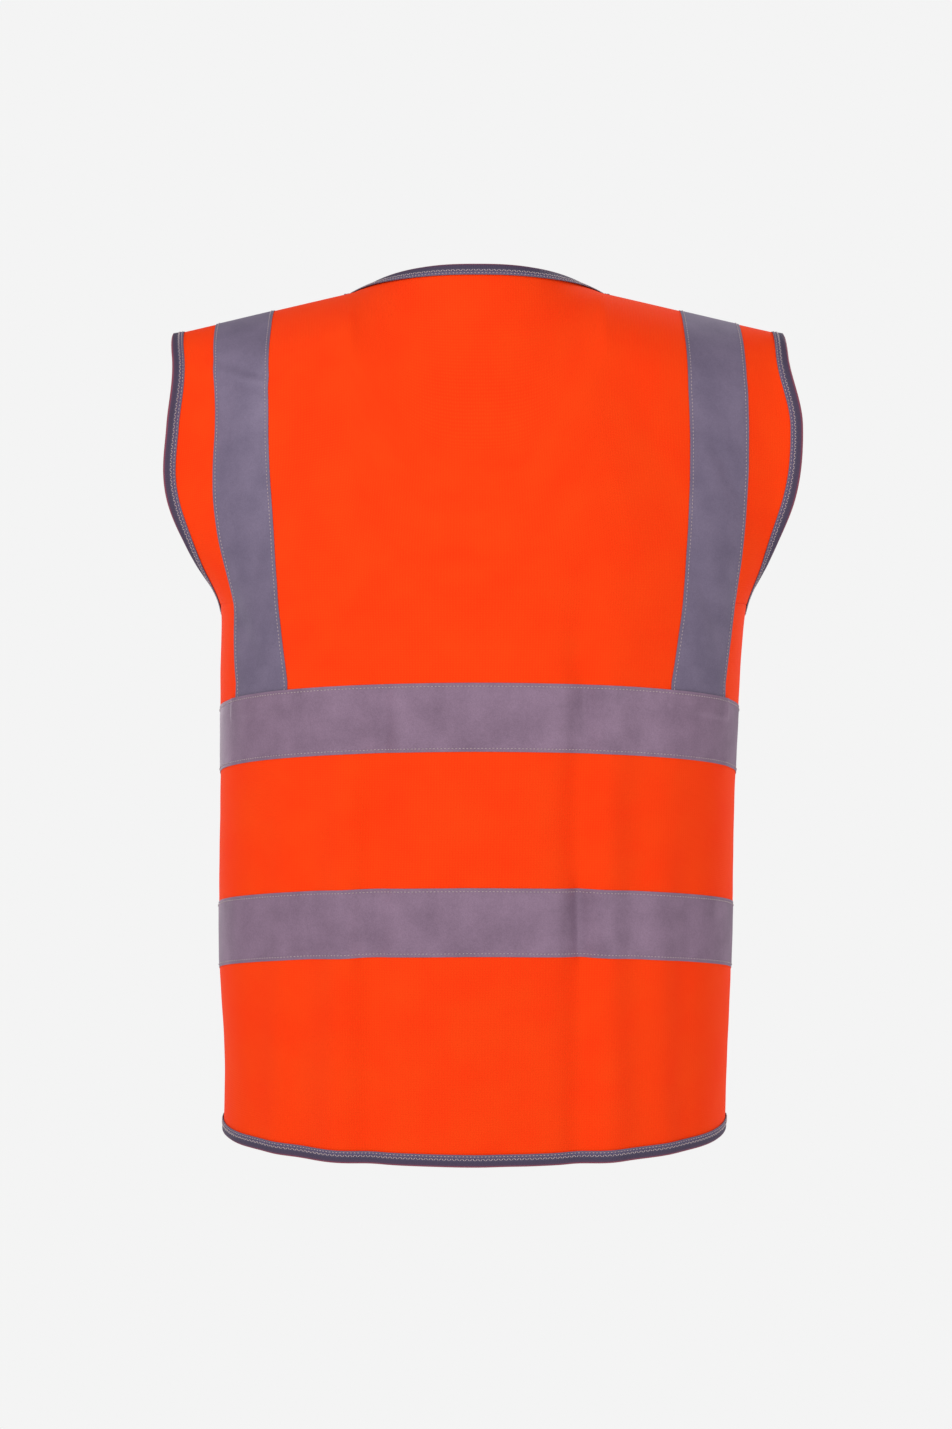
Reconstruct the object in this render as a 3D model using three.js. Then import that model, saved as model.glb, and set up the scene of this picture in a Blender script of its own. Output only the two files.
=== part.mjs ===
// High visibility vest: a sleeveless waistcoat of fluorescent knit with bound edges, two bands of
// grey reflective tape round the body and a brace of the same tape over each shoulder.
// Millimetres, +Z up. +X is the wearer's left, the back of the garment faces +Y and the front -Y.
// The origin is the neck base, midway between the two shoulder points of the neck opening.
// Each front opens about a straight fold that runs from the neckline to the hem.

import * as THREE from 'three';

// ---------------------------------------------------------------- driving dimensions

const NECK_HALF_WIDTH = 94;
const BACK_NECK_DEPTH = 80; // the back neckline behind the shoulder line
const BACK_NECK_RISE = 11; // the back neckline above the shoulder points
const FRONT_NECK_DROP = 235; // the point of the V below the shoulder points
const SHOULDER_HALF_WIDTH = 233;
const SHOULDER_DROP = 31; // the shoulder tip below the neck base
const ARMHOLE_FLARE = 16; // how far the edges of the armholes stand out beyond the body
const UNDERARM_DROP = 238;
const CHEST_HALF_WIDTH = 203;
const WAIST_HALF_WIDTH = 196;
const HEM_HALF_WIDTH = 192;
const BACK_DEPTH = 128; // centre back behind the side seams
const FRONT_DEPTH = 116; // centre front before the side seams
const ARMHOLE_HALF_DEPTH = 56; // the armhole edge before and behind the side seam
const HEM_DROP = 650; // centre back hem below the neck base
const HEM_LIFT = 14; // how much shorter the side seams hang than the centre back
const SHOULDER_ARCH_DROP = 62; // height over which the cloth turns over the shoulder
const NAPE_ARCH_DROP = 140; // height over which the back swells out below the neckline

const TAPE_WIDTH = 50;
const UPPER_BAND_DROP = 299; // top of the upper band at centre back
const LOWER_BAND_DROP = 448; // top of the lower band at centre back
const BAND_DROOP = 19; // how much lower the bands sit at the side seams
const BRACE_TOP_X = 177; // middle of the brace tape on the shoulder line
const BRACE_FOOT_X = 162; // middle of the brace tape at the upper band
const BRACE_BOW = 7; // how far the brace bows outwards between them

const CLOTH_THICKNESS = 1;
const TAPE_THICKNESS = 0.6;
const BINDING_WIDTH = 8;
const BINDING_THICKNESS = 0.7;
const SEWN_GAP = 0.4; // between two layers that are sewn together
const BINDING_GAP = 0.6; // between a binding and the edge folded into it
const BINDING_TRIM = 0.4; // share of a grid step left open where the armhole bindings meet
const TAPE_GAP = 0.95; // under the tapes, which bridge the facets of the cloth
const SEAM_GAP = 0.4; // between two edges that meet at a seam
const FOLD_GAP = 0.8; // between a front and the flap that folds away from it

const FRONT_OVERLAP = 40; // the left front laps this far over the right front
const LAYER_GAP = 6; // between the middle of the two lapped fronts
const FOLD_TOP_DROP = 80; // where the fold leaves the neckline
const FOLD_TOP_INSET = 9; // the fold starts this far from the neckline
const FOLD_FOOT_X = 150; // where the fold meets the hem

const PATCH_WIDTH = 20;
const PATCH_HEIGHT = 44;
const PATCH_THICKNESS = 0.8;

const SIZE_LABEL = { width: 36, height: 26, thickness: 0.4 };
const CARE_LABEL = { width: 24, height: 60, thickness: 0.4, drop: 540 };
const SEAM_WIDTH = 9; // the overlocked allowance inside a seam
const SEAM_THICKNESS = 1.2;

// Grid steps of the cloth.
const NAPE_COLUMNS = 7;
const SHOULDER_COLUMNS = 9;
const FRONT_COLUMNS = 9;
const FLAP_COLUMNS = 7;
const ARCH_ROWS = 7;
const ARMHOLE_ROWS = 10;
const BODY_ROWS = 7;
const FLAP_ROWS = 9;

// ---------------------------------------------------------------- small helpers

const BACK = 1;
const FRONT = -1;
const LEFT = 1;
const RIGHT = -1;
const QUARTER_TURN = Math.PI / 2;

const mix = THREE.MathUtils.lerp;
const smooth = THREE.MathUtils.smoothstep;

// A smooth curve through stations of [distance, value], with flat ends.
function through(stations, distance) {
  const last = stations.length - 1;
  if (distance <= stations[0][0]) return stations[0][1];
  if (distance >= stations[last][0]) return stations[last][1];
  let i = 0;
  while (distance > stations[i + 1][0]) i += 1;
  const slope = (k) => {
    if (k === 0 || k === last) return 0;
    const rise = stations[k + 1][1] - stations[k - 1][1];
    return rise / (stations[k + 1][0] - stations[k - 1][0]);
  };
  const [from, start] = stations[i];
  const [to, end] = stations[i + 1];
  const span = to - from;
  const t = (distance - from) / span;
  const pull = slope(i) * span;
  const push = slope(i + 1) * span;
  const bend = 2 * (start - end) + pull + push;
  return start + t * (pull + t * (3 * (end - start) - 2 * pull - push + t * bend));
}

// ---------------------------------------------------------------- the worn shape

const HEM_STEP = (HEM_DROP - UNDERARM_DROP) / BODY_ROWS;
const armholeSpan = UNDERARM_DROP - SHOULDER_DROP;
const armholeDrop = (share) => SHOULDER_DROP + share * armholeSpan;

// Half width of the body, and how much further out the edges of the armholes flare.
const BODY_WIDTHS = [
  [SHOULDER_DROP, SHOULDER_HALF_WIDTH],
  [armholeDrop(0.35), mix(SHOULDER_HALF_WIDTH, CHEST_HALF_WIDTH, 0.07)],
  [UNDERARM_DROP, CHEST_HALF_WIDTH],
  [mix(UNDERARM_DROP, HEM_DROP, 0.25), WAIST_HALF_WIDTH + 1],
  [mix(UNDERARM_DROP, HEM_DROP, 0.6), WAIST_HALF_WIDTH],
  [HEM_DROP, HEM_HALF_WIDTH],
];
const FLARES = [
  [armholeDrop(0.1), 0],
  [armholeDrop(0.36), 0.7 * ARMHOLE_FLARE],
  [armholeDrop(0.62), ARMHOLE_FLARE],
  [armholeDrop(0.85), 0.5 * ARMHOLE_FLARE],
  [UNDERARM_DROP, 0],
];
const BACK_DEPTHS = [
  [0, 0.8 * BACK_DEPTH],
  [0.6 * UNDERARM_DROP, 0.98 * BACK_DEPTH],
  [0.5 * HEM_DROP, BACK_DEPTH],
  [HEM_DROP, 0.95 * BACK_DEPTH],
];
const SHOULDER_TURN = THREE.MathUtils.degToRad(62);
const SECTION_FULLNESS = 0.25;
const NECK_ROUNDNESS = 2.6;

const FLARE_POWER = 5;
const EDGE_HOLD = 2.5; // how closely the depth of the armhole edge keeps to the edge itself

function clothX(across, z) {
  const turn = edgeTurn(z);
  const body = (through(BODY_WIDTHS, -z) * Math.sin(across * turn)) / Math.sin(turn);
  return body + through(FLARES, -z) * across ** FLARE_POWER;
}

function centreDepth(face, z) {
  if (face === BACK) return through(BACK_DEPTHS, -z);
  return FRONT_DEPTH * mix(0.84, 1, Math.min(1, -z / HEM_DROP));
}

// Share of the way down the armhole: 0 at the shoulder tip, 1 at the underarm.
function armholeShare(z) {
  return (-z - SHOULDER_DROP) / armholeSpan;
}

// How far round the section the cloth reaches, as an angle: a quarter turn at a side seam.
function edgeTurn(z) {
  return mix(SHOULDER_TURN, QUARTER_TURN, smooth(armholeShare(z), 0.25, 1));
}

// Distance of the cloth's edge from the plane of the side seams.
function edgeDepth(z) {
  const share = armholeShare(z);
  if (share >= 1) return 0;
  if (share <= 0.5) return ARMHOLE_HALF_DEPTH;
  return ARMHOLE_HALF_DEPTH * Math.sin(Math.PI * share) ** 0.6;
}

function sectionDepth(angle) {
  return Math.cos(angle) * (1 + SECTION_FULLNESS * Math.sin(angle) ** 2);
}

// Where a column of the cloth starts: on the shoulder line or on the back neckline.
function columnTop(face, across) {
  const x = clothX(Math.abs(across), -SHOULDER_DROP);
  const slope = SHOULDER_DROP / (SHOULDER_HALF_WIDTH - NECK_HALF_WIDTH);
  const z = Math.min(0, -(x - NECK_HALF_WIDTH) * slope);
  if (face === FRONT || x >= NECK_HALF_WIDTH) return { y: 0, z, arch: SHOULDER_ARCH_DROP, power: 1 };
  const nape = 1 - (x / NECK_HALF_WIDTH) ** NECK_ROUNDNESS;
  return {
    y: BACK_NECK_DEPTH * nape,
    z: BACK_NECK_RISE * nape,
    arch: mix(SHOULDER_ARCH_DROP, NAPE_ARCH_DROP, nape),
    power: 1 + nape,
  };
}

// A point of the cloth's inner face; across runs from -1 at the right edge to 1 at the left edge.
function clothPoint(face, across, z) {
  const turn = edgeTurn(z);
  const angle = Math.abs(across) * turn;
  const rim = sectionDepth(turn);
  const crown = (sectionDepth(angle) - rim) / (1 - rim);
  const depth = centreDepth(face, z) * crown + edgeDepth(z) * (1 - crown) ** EDGE_HOLD;
  const top = columnTop(face, across);
  const left = Math.max(0, 1 - (top.z - z) / top.arch);
  const arch = Math.max(0, 1 - left * left) ** (top.power / 2);
  return new THREE.Vector3(clothX(across, z), face * mix(top.y, depth, arch), z);
}

function clothNormal(face, across, z) {
  const step = 0.002;
  const reach = 0.05;
  const inner = Math.min(across + step, 1);
  const sideways = clothPoint(face, inner, z).sub(clothPoint(face, inner - 2 * step, z));
  const down = z - reach;
  const upwards = clothPoint(face, across, down).sub(clothPoint(face, across, down - reach));
  return sideways.cross(upwards).multiplyScalar(-face).normalize();
}

// The column that lies at x on a level.
function columnAt(x, z) {
  let [low, high] = [-1, 1];
  while (high - low > 1e-9) {
    const middle = (low + high) / 2;
    if (clothX(middle, z) < x) low = middle;
    else high = middle;
  }
  return low;
}

// The column a distance along a level from another one.
function columnBeside(face, across, z, distance) {
  const steps = 6;
  let column = across;
  for (let i = 0; i < steps; i += 1) {
    const ahead = clothPoint(face, column + 0.001, z).distanceTo(clothPoint(face, column - 0.001, z));
    column += (distance / steps) * (0.002 / ahead);
  }
  return column;
}

// ---------------------------------------------------------------- outlines

const hemDrop = (across) => HEM_DROP - HEM_LIFT * across * across;
const bandDroop = (across) => BAND_DROOP * across * across;

// Front neckline, from the shoulder point down to the point of the V and on down the front edge.
function frontEdgeX(z) {
  const share = THREE.MathUtils.clamp(-z / FRONT_NECK_DROP, 0, 1);
  return mix(NECK_HALF_WIDTH, -FRONT_OVERLAP / 2, share ** 1.5);
}

function foldX(z) {
  const top = frontEdgeX(-FOLD_TOP_DROP) + FOLD_TOP_INSET;
  const share = (-z - FOLD_TOP_DROP) / (HEM_DROP - FOLD_TOP_DROP);
  return mix(top, FOLD_FOOT_X, share);
}

// Rows from the top of a column down to the hem, shared by everything that lies on the cloth.
const CLOTH_ROWS = ARCH_ROWS + ARMHOLE_ROWS + BODY_ROWS;

function clothRow(face, across, row) {
  const top = columnTop(face, across);
  if (row <= ARCH_ROWS) {
    const turn = (row / ARCH_ROWS) * QUARTER_TURN;
    return top.z - top.arch * (1 - Math.cos(turn));
  }
  if (row <= ARCH_ROWS + ARMHOLE_ROWS) {
    const share = Math.sin(((row - ARCH_ROWS) / ARMHOLE_ROWS) * QUARTER_TURN);
    return mix(top.z - top.arch, -UNDERARM_DROP, share);
  }
  const share = (row - ARCH_ROWS - ARMHOLE_ROWS) / BODY_ROWS;
  return mix(-UNDERARM_DROP, -hemDrop(across), share);
}

// ---------------------------------------------------------------- ways to make a piece

const flat = () => 0;
const onCloth = () => CLOTH_THICKNESS + TAPE_GAP;

function turnedOutwards(geometry) {
  const position = geometry.attributes.position;
  const index = geometry.index;
  const corner = (i) => new THREE.Vector3().fromBufferAttribute(position, index.getX(i));
  let volume = 0;
  for (let i = 0; i < index.count; i += 3) {
    volume += corner(i).dot(corner(i + 1).cross(corner(i + 2)));
  }
  if (volume > 0) return geometry;
  for (let i = 0; i < index.count; i += 3) {
    const first = index.getX(i);
    index.setX(i, index.getX(i + 1));
    index.setX(i + 1, first);
  }
  return geometry;
}

// The two triangles of each quad share one diagonal. It is the one that lies further out from the
// core of the garment, so that layers on top of each other bend along the same lines.
const CORE = new THREE.Vector3(0, 0, -UNDERARM_DROP);

function bendOutwards({ attributes, index }) {
  const corner = (i) => new THREE.Vector3().fromBufferAttribute(attributes.position, i);
  for (let i = 0; i < index.count; i += 6) {
    const [a, b, d, , c] = index.array.slice(i, i + 6);
    const [first, second] = [corner(a).add(corner(c)), corner(b).add(corner(d))];
    const across = corner(c).sub(corner(a)).cross(corner(d).sub(corner(b)));
    const centre = first.clone().add(second).divideScalar(4);
    const outwards = Math.sign(across.dot(centre.sub(CORE)));
    if (first.sub(second).dot(across) * outwards > 0) index.array.set([a, b, c, a, c, d], i);
  }
}

// A box whose length, height and thickness, each from 0 to 1, are laid where place() says.
function laidBox(columns, rows, place) {
  const box = new THREE.BoxGeometry(1, 1, 1, columns, rows, 1);
  const position = box.attributes.position;
  for (let i = 0; i < position.count; i += 1) {
    const spot = place(position.getX(i) + 0.5, position.getY(i) + 0.5, position.getZ(i) + 0.5);
    position.setXYZ(i, spot.x, spot.y, spot.z);
  }
  bendOutwards(box);
  return turnedOutwards(box);
}

// A layer on the cloth. spot(u, v) gives [across, z], and lift(across, z) the height of its
// inner face above the inner face of the cloth.
function layer(face, columns, rows, thickness, spot, lift) {
  return laidBox(columns, rows, (u, v, w) => {
    const [across, z] = spot(u, v);
    const height = lift(across, z) + w * thickness;
    return clothPoint(face, across, z).addScaledVector(clothNormal(face, across, z), height);
  });
}

// A binding folded over an edge. For each step k along the edge, edge(k, 0) gives [face, across, z]
// on the edge and edge(k, 1) one grid step into the cloth. lift is the height of the cloth there,
// and trim shortens both ends by a share of a step.
function binding(steps, edge, lift = flat, trim = 0) {
  const inside = BINDING_GAP;
  const outside = BINDING_GAP + BINDING_THICKNESS;
  const fold = (clear) => [
    [-BINDING_WIDTH, CLOTH_THICKNESS + clear],
    [clear, CLOTH_THICKNESS + clear],
    [clear, -clear],
    [-BINDING_WIDTH, -clear],
  ];
  const section = [fold(inside), fold(outside)];
  const frames = [];
  for (let k = 0; k <= steps; k += 1) {
    const [point, inner] = [0, 1].map((inwards) => {
      const [face, across, z] = edge(k, inwards);
      return clothPoint(face, across, z).addScaledVector(clothNormal(face, across, z), lift(across, z));
    });
    const outwards = point.clone().sub(inner).normalize();
    frames.push({ point, outwards, normal: clothNormal(...edge(k, 0)) });
  }
  frames[0].point.lerp(frames[1].point, trim);
  frames[steps].point.lerp(frames[steps - 1].point, trim);
  return laidBox(steps, 3, (u, v, w) => {
    const frame = frames[Math.round(u * steps)];
    const [out, up] = section[Math.round(w)][Math.round(v * 3)];
    const spot = frame.point.clone().addScaledVector(frame.outwards, out);
    return spot.addScaledVector(frame.normal, up);
  });
}

const FINISH = {
  cloth: { color: 0xff3c12, roughness: 0.85 },
  tape: { color: 0x83758c, roughness: 0.5 },
  binding: { color: 0x544966, roughness: 0.75 },
  patch: { color: 0x3a3344, roughness: 0.95 },
  label: { color: 0xf2f0ec, roughness: 0.7 },
};

const vest = new THREE.Group();

function addPiece(name, geometry, finish) {
  const material = new THREE.MeshStandardMaterial({ metalness: 0, ...FINISH[finish] });
  const mesh = new THREE.Mesh(geometry, material);
  mesh.name = name;
  vest.add(mesh);
}


// ---------------------------------------------------------------- back

// From the underarm down, the last column stops a little short of the side seam.
function seamColumn(across, z) {
  if (Math.abs(across) < 0.999 || z > 0.01 - UNDERARM_DROP) return across;
  return across * (1 - SEAM_GAP / 2 / (CHEST_HALF_WIDTH * QUARTER_TURN));
}

const neckColumn = columnAt(NECK_HALF_WIDTH, -SHOULDER_DROP);
const backColumns = 2 * (NAPE_COLUMNS + SHOULDER_COLUMNS);

// Columns of the back from the centre to an edge: even steps round the neck, then to the edge.
function backColumn(step) {
  const count = Math.abs(step);
  if (count > NAPE_COLUMNS) {
    return Math.sign(step) * mix(neckColumn, 1, (count - NAPE_COLUMNS) / SHOULDER_COLUMNS);
  }
  const x = NECK_HALF_WIDTH * Math.sin((count / NAPE_COLUMNS) * QUARTER_TURN);
  return Math.sign(step) * columnAt(x, -SHOULDER_DROP);
}

const backSpread = (u) => backColumn((u - 0.5) * backColumns);

// Front and back meet over the shoulder with a gap: the first row starts just off the ridge.
const ridgeRow = (row) => Math.max(row, 0.04);

function backSpot(u, v) {
  const across = backSpread(u);
  const row = Math.round((1 - v) * CLOTH_ROWS);
  const onShoulder = Math.abs(across) > neckColumn;
  const z = clothRow(BACK, across, onShoulder ? ridgeRow(row) : row);
  return [seamColumn(across, z), z];
}

addPiece('back_panel', layer(BACK, backColumns, CLOTH_ROWS, CLOTH_THICKNESS, backSpot, flat), 'cloth');

// A band follows the columns that spreadAt(z) gives at its own height, which depends on the column.
function bandSpot(spreadAt, drop) {
  return (u, v) => {
    const level = -drop - (1 - v) * TAPE_WIDTH;
    let across = spreadAt(level)(u);
    for (let i = 0; i < 3; i += 1) across = spreadAt(level - bandDroop(across))(u);
    const z = level - bandDroop(across);
    return [seamColumn(across, z), z];
  };
}

const BANDS = { upper: UPPER_BAND_DROP, lower: LOWER_BAND_DROP };

for (const [level, drop] of Object.entries(BANDS)) {
  const spot = bandSpot(() => backSpread, drop);
  addPiece(`back_${level}_band`, layer(BACK, backColumns, 1, TAPE_THICKNESS, spot, onCloth), 'tape');
}

const hemEdge = (face, spread, steps) => (k, inwards) => {
  const across = spread(k / steps);
  const z = -hemDrop(across) + inwards * HEM_STEP;
  return [face, seamColumn(across, z), z];
};
const backHem = hemEdge(BACK, backSpread, backColumns);
addPiece('back_hem_binding', binding(backColumns, backHem), 'binding');

// ---------------------------------------------------------------- fronts

// Rows of a front: over the shoulder, a short step where the fold starts, then down to the hem.
const STEP_ROW = ARCH_ROWS + 1;
const UNDERARM_ROW = STEP_ROW + 1 + ARMHOLE_ROWS;
const FRONT_ROWS = UNDERARM_ROW + BODY_ROWS;

function frontRow(across, row) {
  const top = columnTop(FRONT, across);
  if (row <= ARCH_ROWS) return clothRow(FRONT, across, ridgeRow(row));
  const step = top.z - FOLD_TOP_DROP;
  if (row < STEP_ROW + 1) return step;
  if (row <= UNDERARM_ROW) {
    const share = Math.sin(((row - STEP_ROW - 1) / ARMHOLE_ROWS) * QUARTER_TURN);
    return mix(step - FOLD_GAP, -UNDERARM_DROP, share);
  }
  return mix(-UNDERARM_DROP, -hemDrop(across), (row - UNDERARM_ROW) / BODY_ROWS);
}

// The part of a front that stays on the shoulder ends at the neckline, and below it at the fold.
function frontInnerColumn(z, row) {
  const x = row <= STEP_ROW ? frontEdgeX(z) : foldX(z) + FOLD_GAP / 2;
  return columnAt(x, z);
}

function frontSpot(side) {
  return (u, v) => {
    const row = Math.round((1 - v) * FRONT_ROWS);
    const inner = frontInnerColumn(frontRow(neckColumn, row), row);
    const across = mix(inner, 1, u);
    const z = frontRow(across, row);
    return [side * seamColumn(across, z), z];
  };
}

// Columns of the side of a front between the fold and the side seam, at a height.
function sideSpread(side, z) {
  const inner = columnAt(foldX(z) + FOLD_GAP / 2, z);
  return (u) => side * mix(inner, 1, u);
}

// A flap runs from the neckline and front edge to the fold. Rows meet the point of the V.
const V_ROWS = 4;

function flapRow(across, row) {
  const top = -FOLD_TOP_DROP - 2 * FOLD_GAP;
  if (row <= V_ROWS) return mix(top, -FRONT_NECK_DROP, row / V_ROWS);
  return mix(-FRONT_NECK_DROP, -hemDrop(across), (row - V_ROWS) / (FLAP_ROWS - V_ROWS));
}

// Columns of a flap from a distance inside its front edge to the fold.
function flapSpread(side, z, inset) {
  const edge = columnAt(frontEdgeX(z), z);
  const inner = inset > 0 ? columnBeside(FRONT, edge, z, inset) : edge;
  const fold = columnAt(foldX(z) - FOLD_GAP / 2, z);
  return (u) => side * mix(inner, fold, u);
}

// The left flap stands off in front of the right one, and both meet the cloth at the fold.
function flapLift(side) {
  return (across, z) => {
    const x = side * clothPoint(FRONT, across, z).x;
    return (side * LAYER_GAP / 2) * (1 - smooth(x, FRONT_OVERLAP, foldX(z)));
  };
}

function addFront(side, name) {
  const bent = flapLift(side);
  const overFlap = (across, z) => bent(across, z) + onCloth();
  const beside = BINDING_WIDTH + SEAM_GAP;

  const panel = layer(FRONT, FRONT_COLUMNS, FRONT_ROWS, CLOTH_THICKNESS, frontSpot(side), flat);
  addPiece(`${name}_front_panel`, panel, 'cloth');

  const flapSpot = (u, v) => {
    const row = Math.round((1 - v) * FLAP_ROWS);
    const level = flapRow(0, row);
    const across = flapSpread(side, level, 0)(u);
    return [across, flapRow(across, row)];
  };
  const flap = layer(FRONT, FLAP_COLUMNS, FLAP_ROWS, CLOTH_THICKNESS, flapSpot, bent);
  addPiece(`${name}_front_flap`, flap, 'cloth');

  for (const [level, drop] of Object.entries(BANDS)) {
    const sideBand = bandSpot((z) => sideSpread(side, z), drop);
    const onSide = layer(FRONT, FRONT_COLUMNS, 1, TAPE_THICKNESS, sideBand, onCloth);
    addPiece(`${name}_side_${level}_band`, onSide, 'tape');
    const flapBand = bandSpot((z) => flapSpread(side, z, beside), drop);
    const onFlap = layer(FRONT, FLAP_COLUMNS, 1, TAPE_THICKNESS, flapBand, overFlap);
    addPiece(`${name}_flap_${level}_band`, onFlap, 'tape');
  }

  const sideHem = hemEdge(FRONT, sideSpread(side, -HEM_DROP), FRONT_COLUMNS);
  addPiece(`${name}_side_hem_binding`, binding(FRONT_COLUMNS, sideHem), 'binding');

  const flapHem = hemEdge(FRONT, flapSpread(side, -HEM_DROP, beside), FLAP_COLUMNS);
  addPiece(`${name}_flap_hem_binding`, binding(FLAP_COLUMNS, flapHem, bent), 'binding');

  const frontEdge = (k, inwards) => {
    const across = flapSpread(side, flapRow(0, k), 0)(inwards / FLAP_COLUMNS);
    return [FRONT, across, flapRow(across, k)];
  };
  addPiece(`${name}_front_edge_binding`, binding(FLAP_ROWS, frontEdge, bent), 'binding');
}

addFront(LEFT, 'left');
addFront(RIGHT, 'right');

// ---------------------------------------------------------------- neck and armhole bindings

// Up one front from the fold to the shoulder, round the back neckline and down the other front.
const neckSteps = 2 * (STEP_ROW + NAPE_COLUMNS);

function neckEdge(k, inwards) {
  const fromMiddle = k - neckSteps / 2;
  const count = Math.abs(fromMiddle);
  if (count < NAPE_COLUMNS) {
    const across = backColumn(fromMiddle);
    return [BACK, across, clothRow(BACK, across, inwards)];
  }
  const row = count - NAPE_COLUMNS;
  const inner = columnAt(frontEdgeX(frontRow(neckColumn, row)), frontRow(neckColumn, row));
  const across = mix(inner, 1, inwards / FRONT_COLUMNS);
  return [FRONT, Math.sign(fromMiddle) * across, frontRow(across, row)];
}
addPiece('neck_binding', binding(neckSteps, neckEdge), 'binding');

// From the underarm up the back, over the shoulder tip and down the front to the underarm.
const backArmholeRows = ARCH_ROWS + ARMHOLE_ROWS;
const armholeSteps = backArmholeRows + UNDERARM_ROW + 1;

function armholeEdge(side) {
  return (k, inwards) => {
    if (k <= backArmholeRows) {
      const across = backColumn(backColumns / 2 - inwards);
      const z = clothRow(BACK, across, ridgeRow(backArmholeRows - k));
      return [BACK, side * seamColumn(across, z), z];
    }
    const row = k - backArmholeRows - 1;
    const inner = frontInnerColumn(frontRow(neckColumn, row), row);
    const across = mix(inner, 1, 1 - inwards / FRONT_COLUMNS);
    const z = frontRow(across, row);
    return [FRONT, side * seamColumn(across, z), z];
  };
}

for (const [side, name] of [[LEFT, 'left'], [RIGHT, 'right']]) {
  const strip = binding(armholeSteps, armholeEdge(side), flat, BINDING_TRIM);
  addPiece(`${name}_armhole_binding`, strip, 'binding');
}

// ---------------------------------------------------------------- brace tapes

// A brace runs in one strip from the upper band at the back, over the shoulder, to the upper band
// at the front. fall is the height below the shoulder line.
const BRACE_ROWS = 18;

function braceSpot(side) {
  return (face, offset, turn) => {
    const foot = UPPER_BAND_DROP - SEAM_GAP + bandDroop(columnAt(BRACE_FOOT_X, -UPPER_BAND_DROP));
    const top = columnTop(face, columnAt(BRACE_TOP_X, -SHOULDER_DROP));
    const arched = top.arch * (1 - Math.cos(Math.min(1, turn) * QUARTER_TURN));
    const fall = turn <= 1 ? arched : mix(top.arch, foot + top.z, turn - 1);
    const share = fall / (foot + top.z);
    const x = mix(BRACE_TOP_X, BRACE_FOOT_X, share) + BRACE_BOW * Math.sin(Math.PI * share);
    const middle = columnAt(x, top.z - fall);
    const column = columnBeside(face, middle, top.z - fall, offset);
    return [face, side * column, Math.min(0, columnTop(face, column).z - fall)];
  };
}

for (const [side, name] of [[LEFT, 'left'], [RIGHT, 'right']]) {
  const spot = braceSpot(side);
  const strip = laidBox(3, BRACE_ROWS * 2, (u, v, w) => {
    const turn = (v - 0.5) * 4;
    const [face, across, z] = spot(turn > 0 ? FRONT : BACK, (u - 0.5) * TAPE_WIDTH, Math.abs(turn));
    const height = onCloth() + w * TAPE_THICKNESS;
    return clothPoint(face, across, z).addScaledVector(clothNormal(face, across, z), height);
  });
  addPiece(`${name}_brace_tape`, strip, 'tape');
}

// ---------------------------------------------------------------- fastening patches

// Hooks on the inside of the left flap meet loops on the outside of the right flap: one pair above
// the upper band, one between the bands and two below them.
const upperBandFoot = UPPER_BAND_DROP + TAPE_WIDTH;
const lowerBandFoot = LOWER_BAND_DROP + TAPE_WIDTH;
const PATCH_MIDDLES = [
  mix(FRONT_NECK_DROP, UPPER_BAND_DROP, 0.5),
  mix(upperBandFoot, LOWER_BAND_DROP, 0.5),
  mix(lowerBandFoot, HEM_DROP, 0.25),
  mix(lowerBandFoot, HEM_DROP, 0.7),
];

PATCH_MIDDLES.forEach((drop, i) => {
  const patchSpot = (u, v) => {
    const z = (v - 0.5) * PATCH_HEIGHT - drop;
    return [columnAt((u - 0.5) * PATCH_WIDTH, z), z];
  };
  const behindLeft = (across, z) => flapLift(LEFT)(across, z) - SEWN_GAP - PATCH_THICKNESS;
  const beforeRight = (across, z) => flapLift(RIGHT)(across, z) + CLOTH_THICKNESS + SEWN_GAP;
  const hooks = layer(FRONT, 2, 1, PATCH_THICKNESS, patchSpot, behindLeft);
  addPiece(`hook_patch_${i + 1}`, hooks, 'patch');
  const loops = layer(FRONT, 2, 1, PATCH_THICKNESS, patchSpot, beforeRight);
  addPiece(`loop_patch_${i + 1}`, loops, 'patch');
});

// ---------------------------------------------------------------- seams and labels, inside

const within = (thickness) => () => -BINDING_GAP - thickness;

// The allowances of a seam lie on the inside of the back, clear of the bindings at its ends.
const SEAM_ROWS = 8;
const clearOfBinding = BINDING_WIDTH + 2;

function sideSeamSpot(side) {
  return (u, v) => {
    const z = mix(clearOfBinding - hemDrop(1), -UNDERARM_DROP - clearOfBinding, v);
    return [side * columnBeside(BACK, seamColumn(1, z), z, -u * SEAM_WIDTH), z];
  };
}

function shoulderSeamSpot(side) {
  return (u, v) => {
    const x = mix(NECK_HALF_WIDTH + clearOfBinding, SHOULDER_HALF_WIDTH - clearOfBinding, u);
    const across = columnAt(x, -SHOULDER_DROP);
    const top = columnTop(BACK, across);
    const turn = Math.asin(mix(1.5, SEAM_WIDTH, v) / centreDepth(BACK, top.z));
    return [side * across, top.z - top.arch * (1 - Math.cos(turn))];
  };
}

for (const [side, name] of [[LEFT, 'left'], [RIGHT, 'right']]) {
  const inner = within(SEAM_THICKNESS);
  const sideSeam = layer(BACK, 1, SEAM_ROWS, SEAM_THICKNESS, sideSeamSpot(side), inner);
  addPiece(`${name}_side_seam`, sideSeam, 'cloth');
  const shoulderSeam = layer(BACK, SEAM_ROWS, 1, SEAM_THICKNESS, shoulderSeamSpot(side), inner);
  addPiece(`${name}_shoulder_seam`, shoulderSeam, 'cloth');
}

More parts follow.
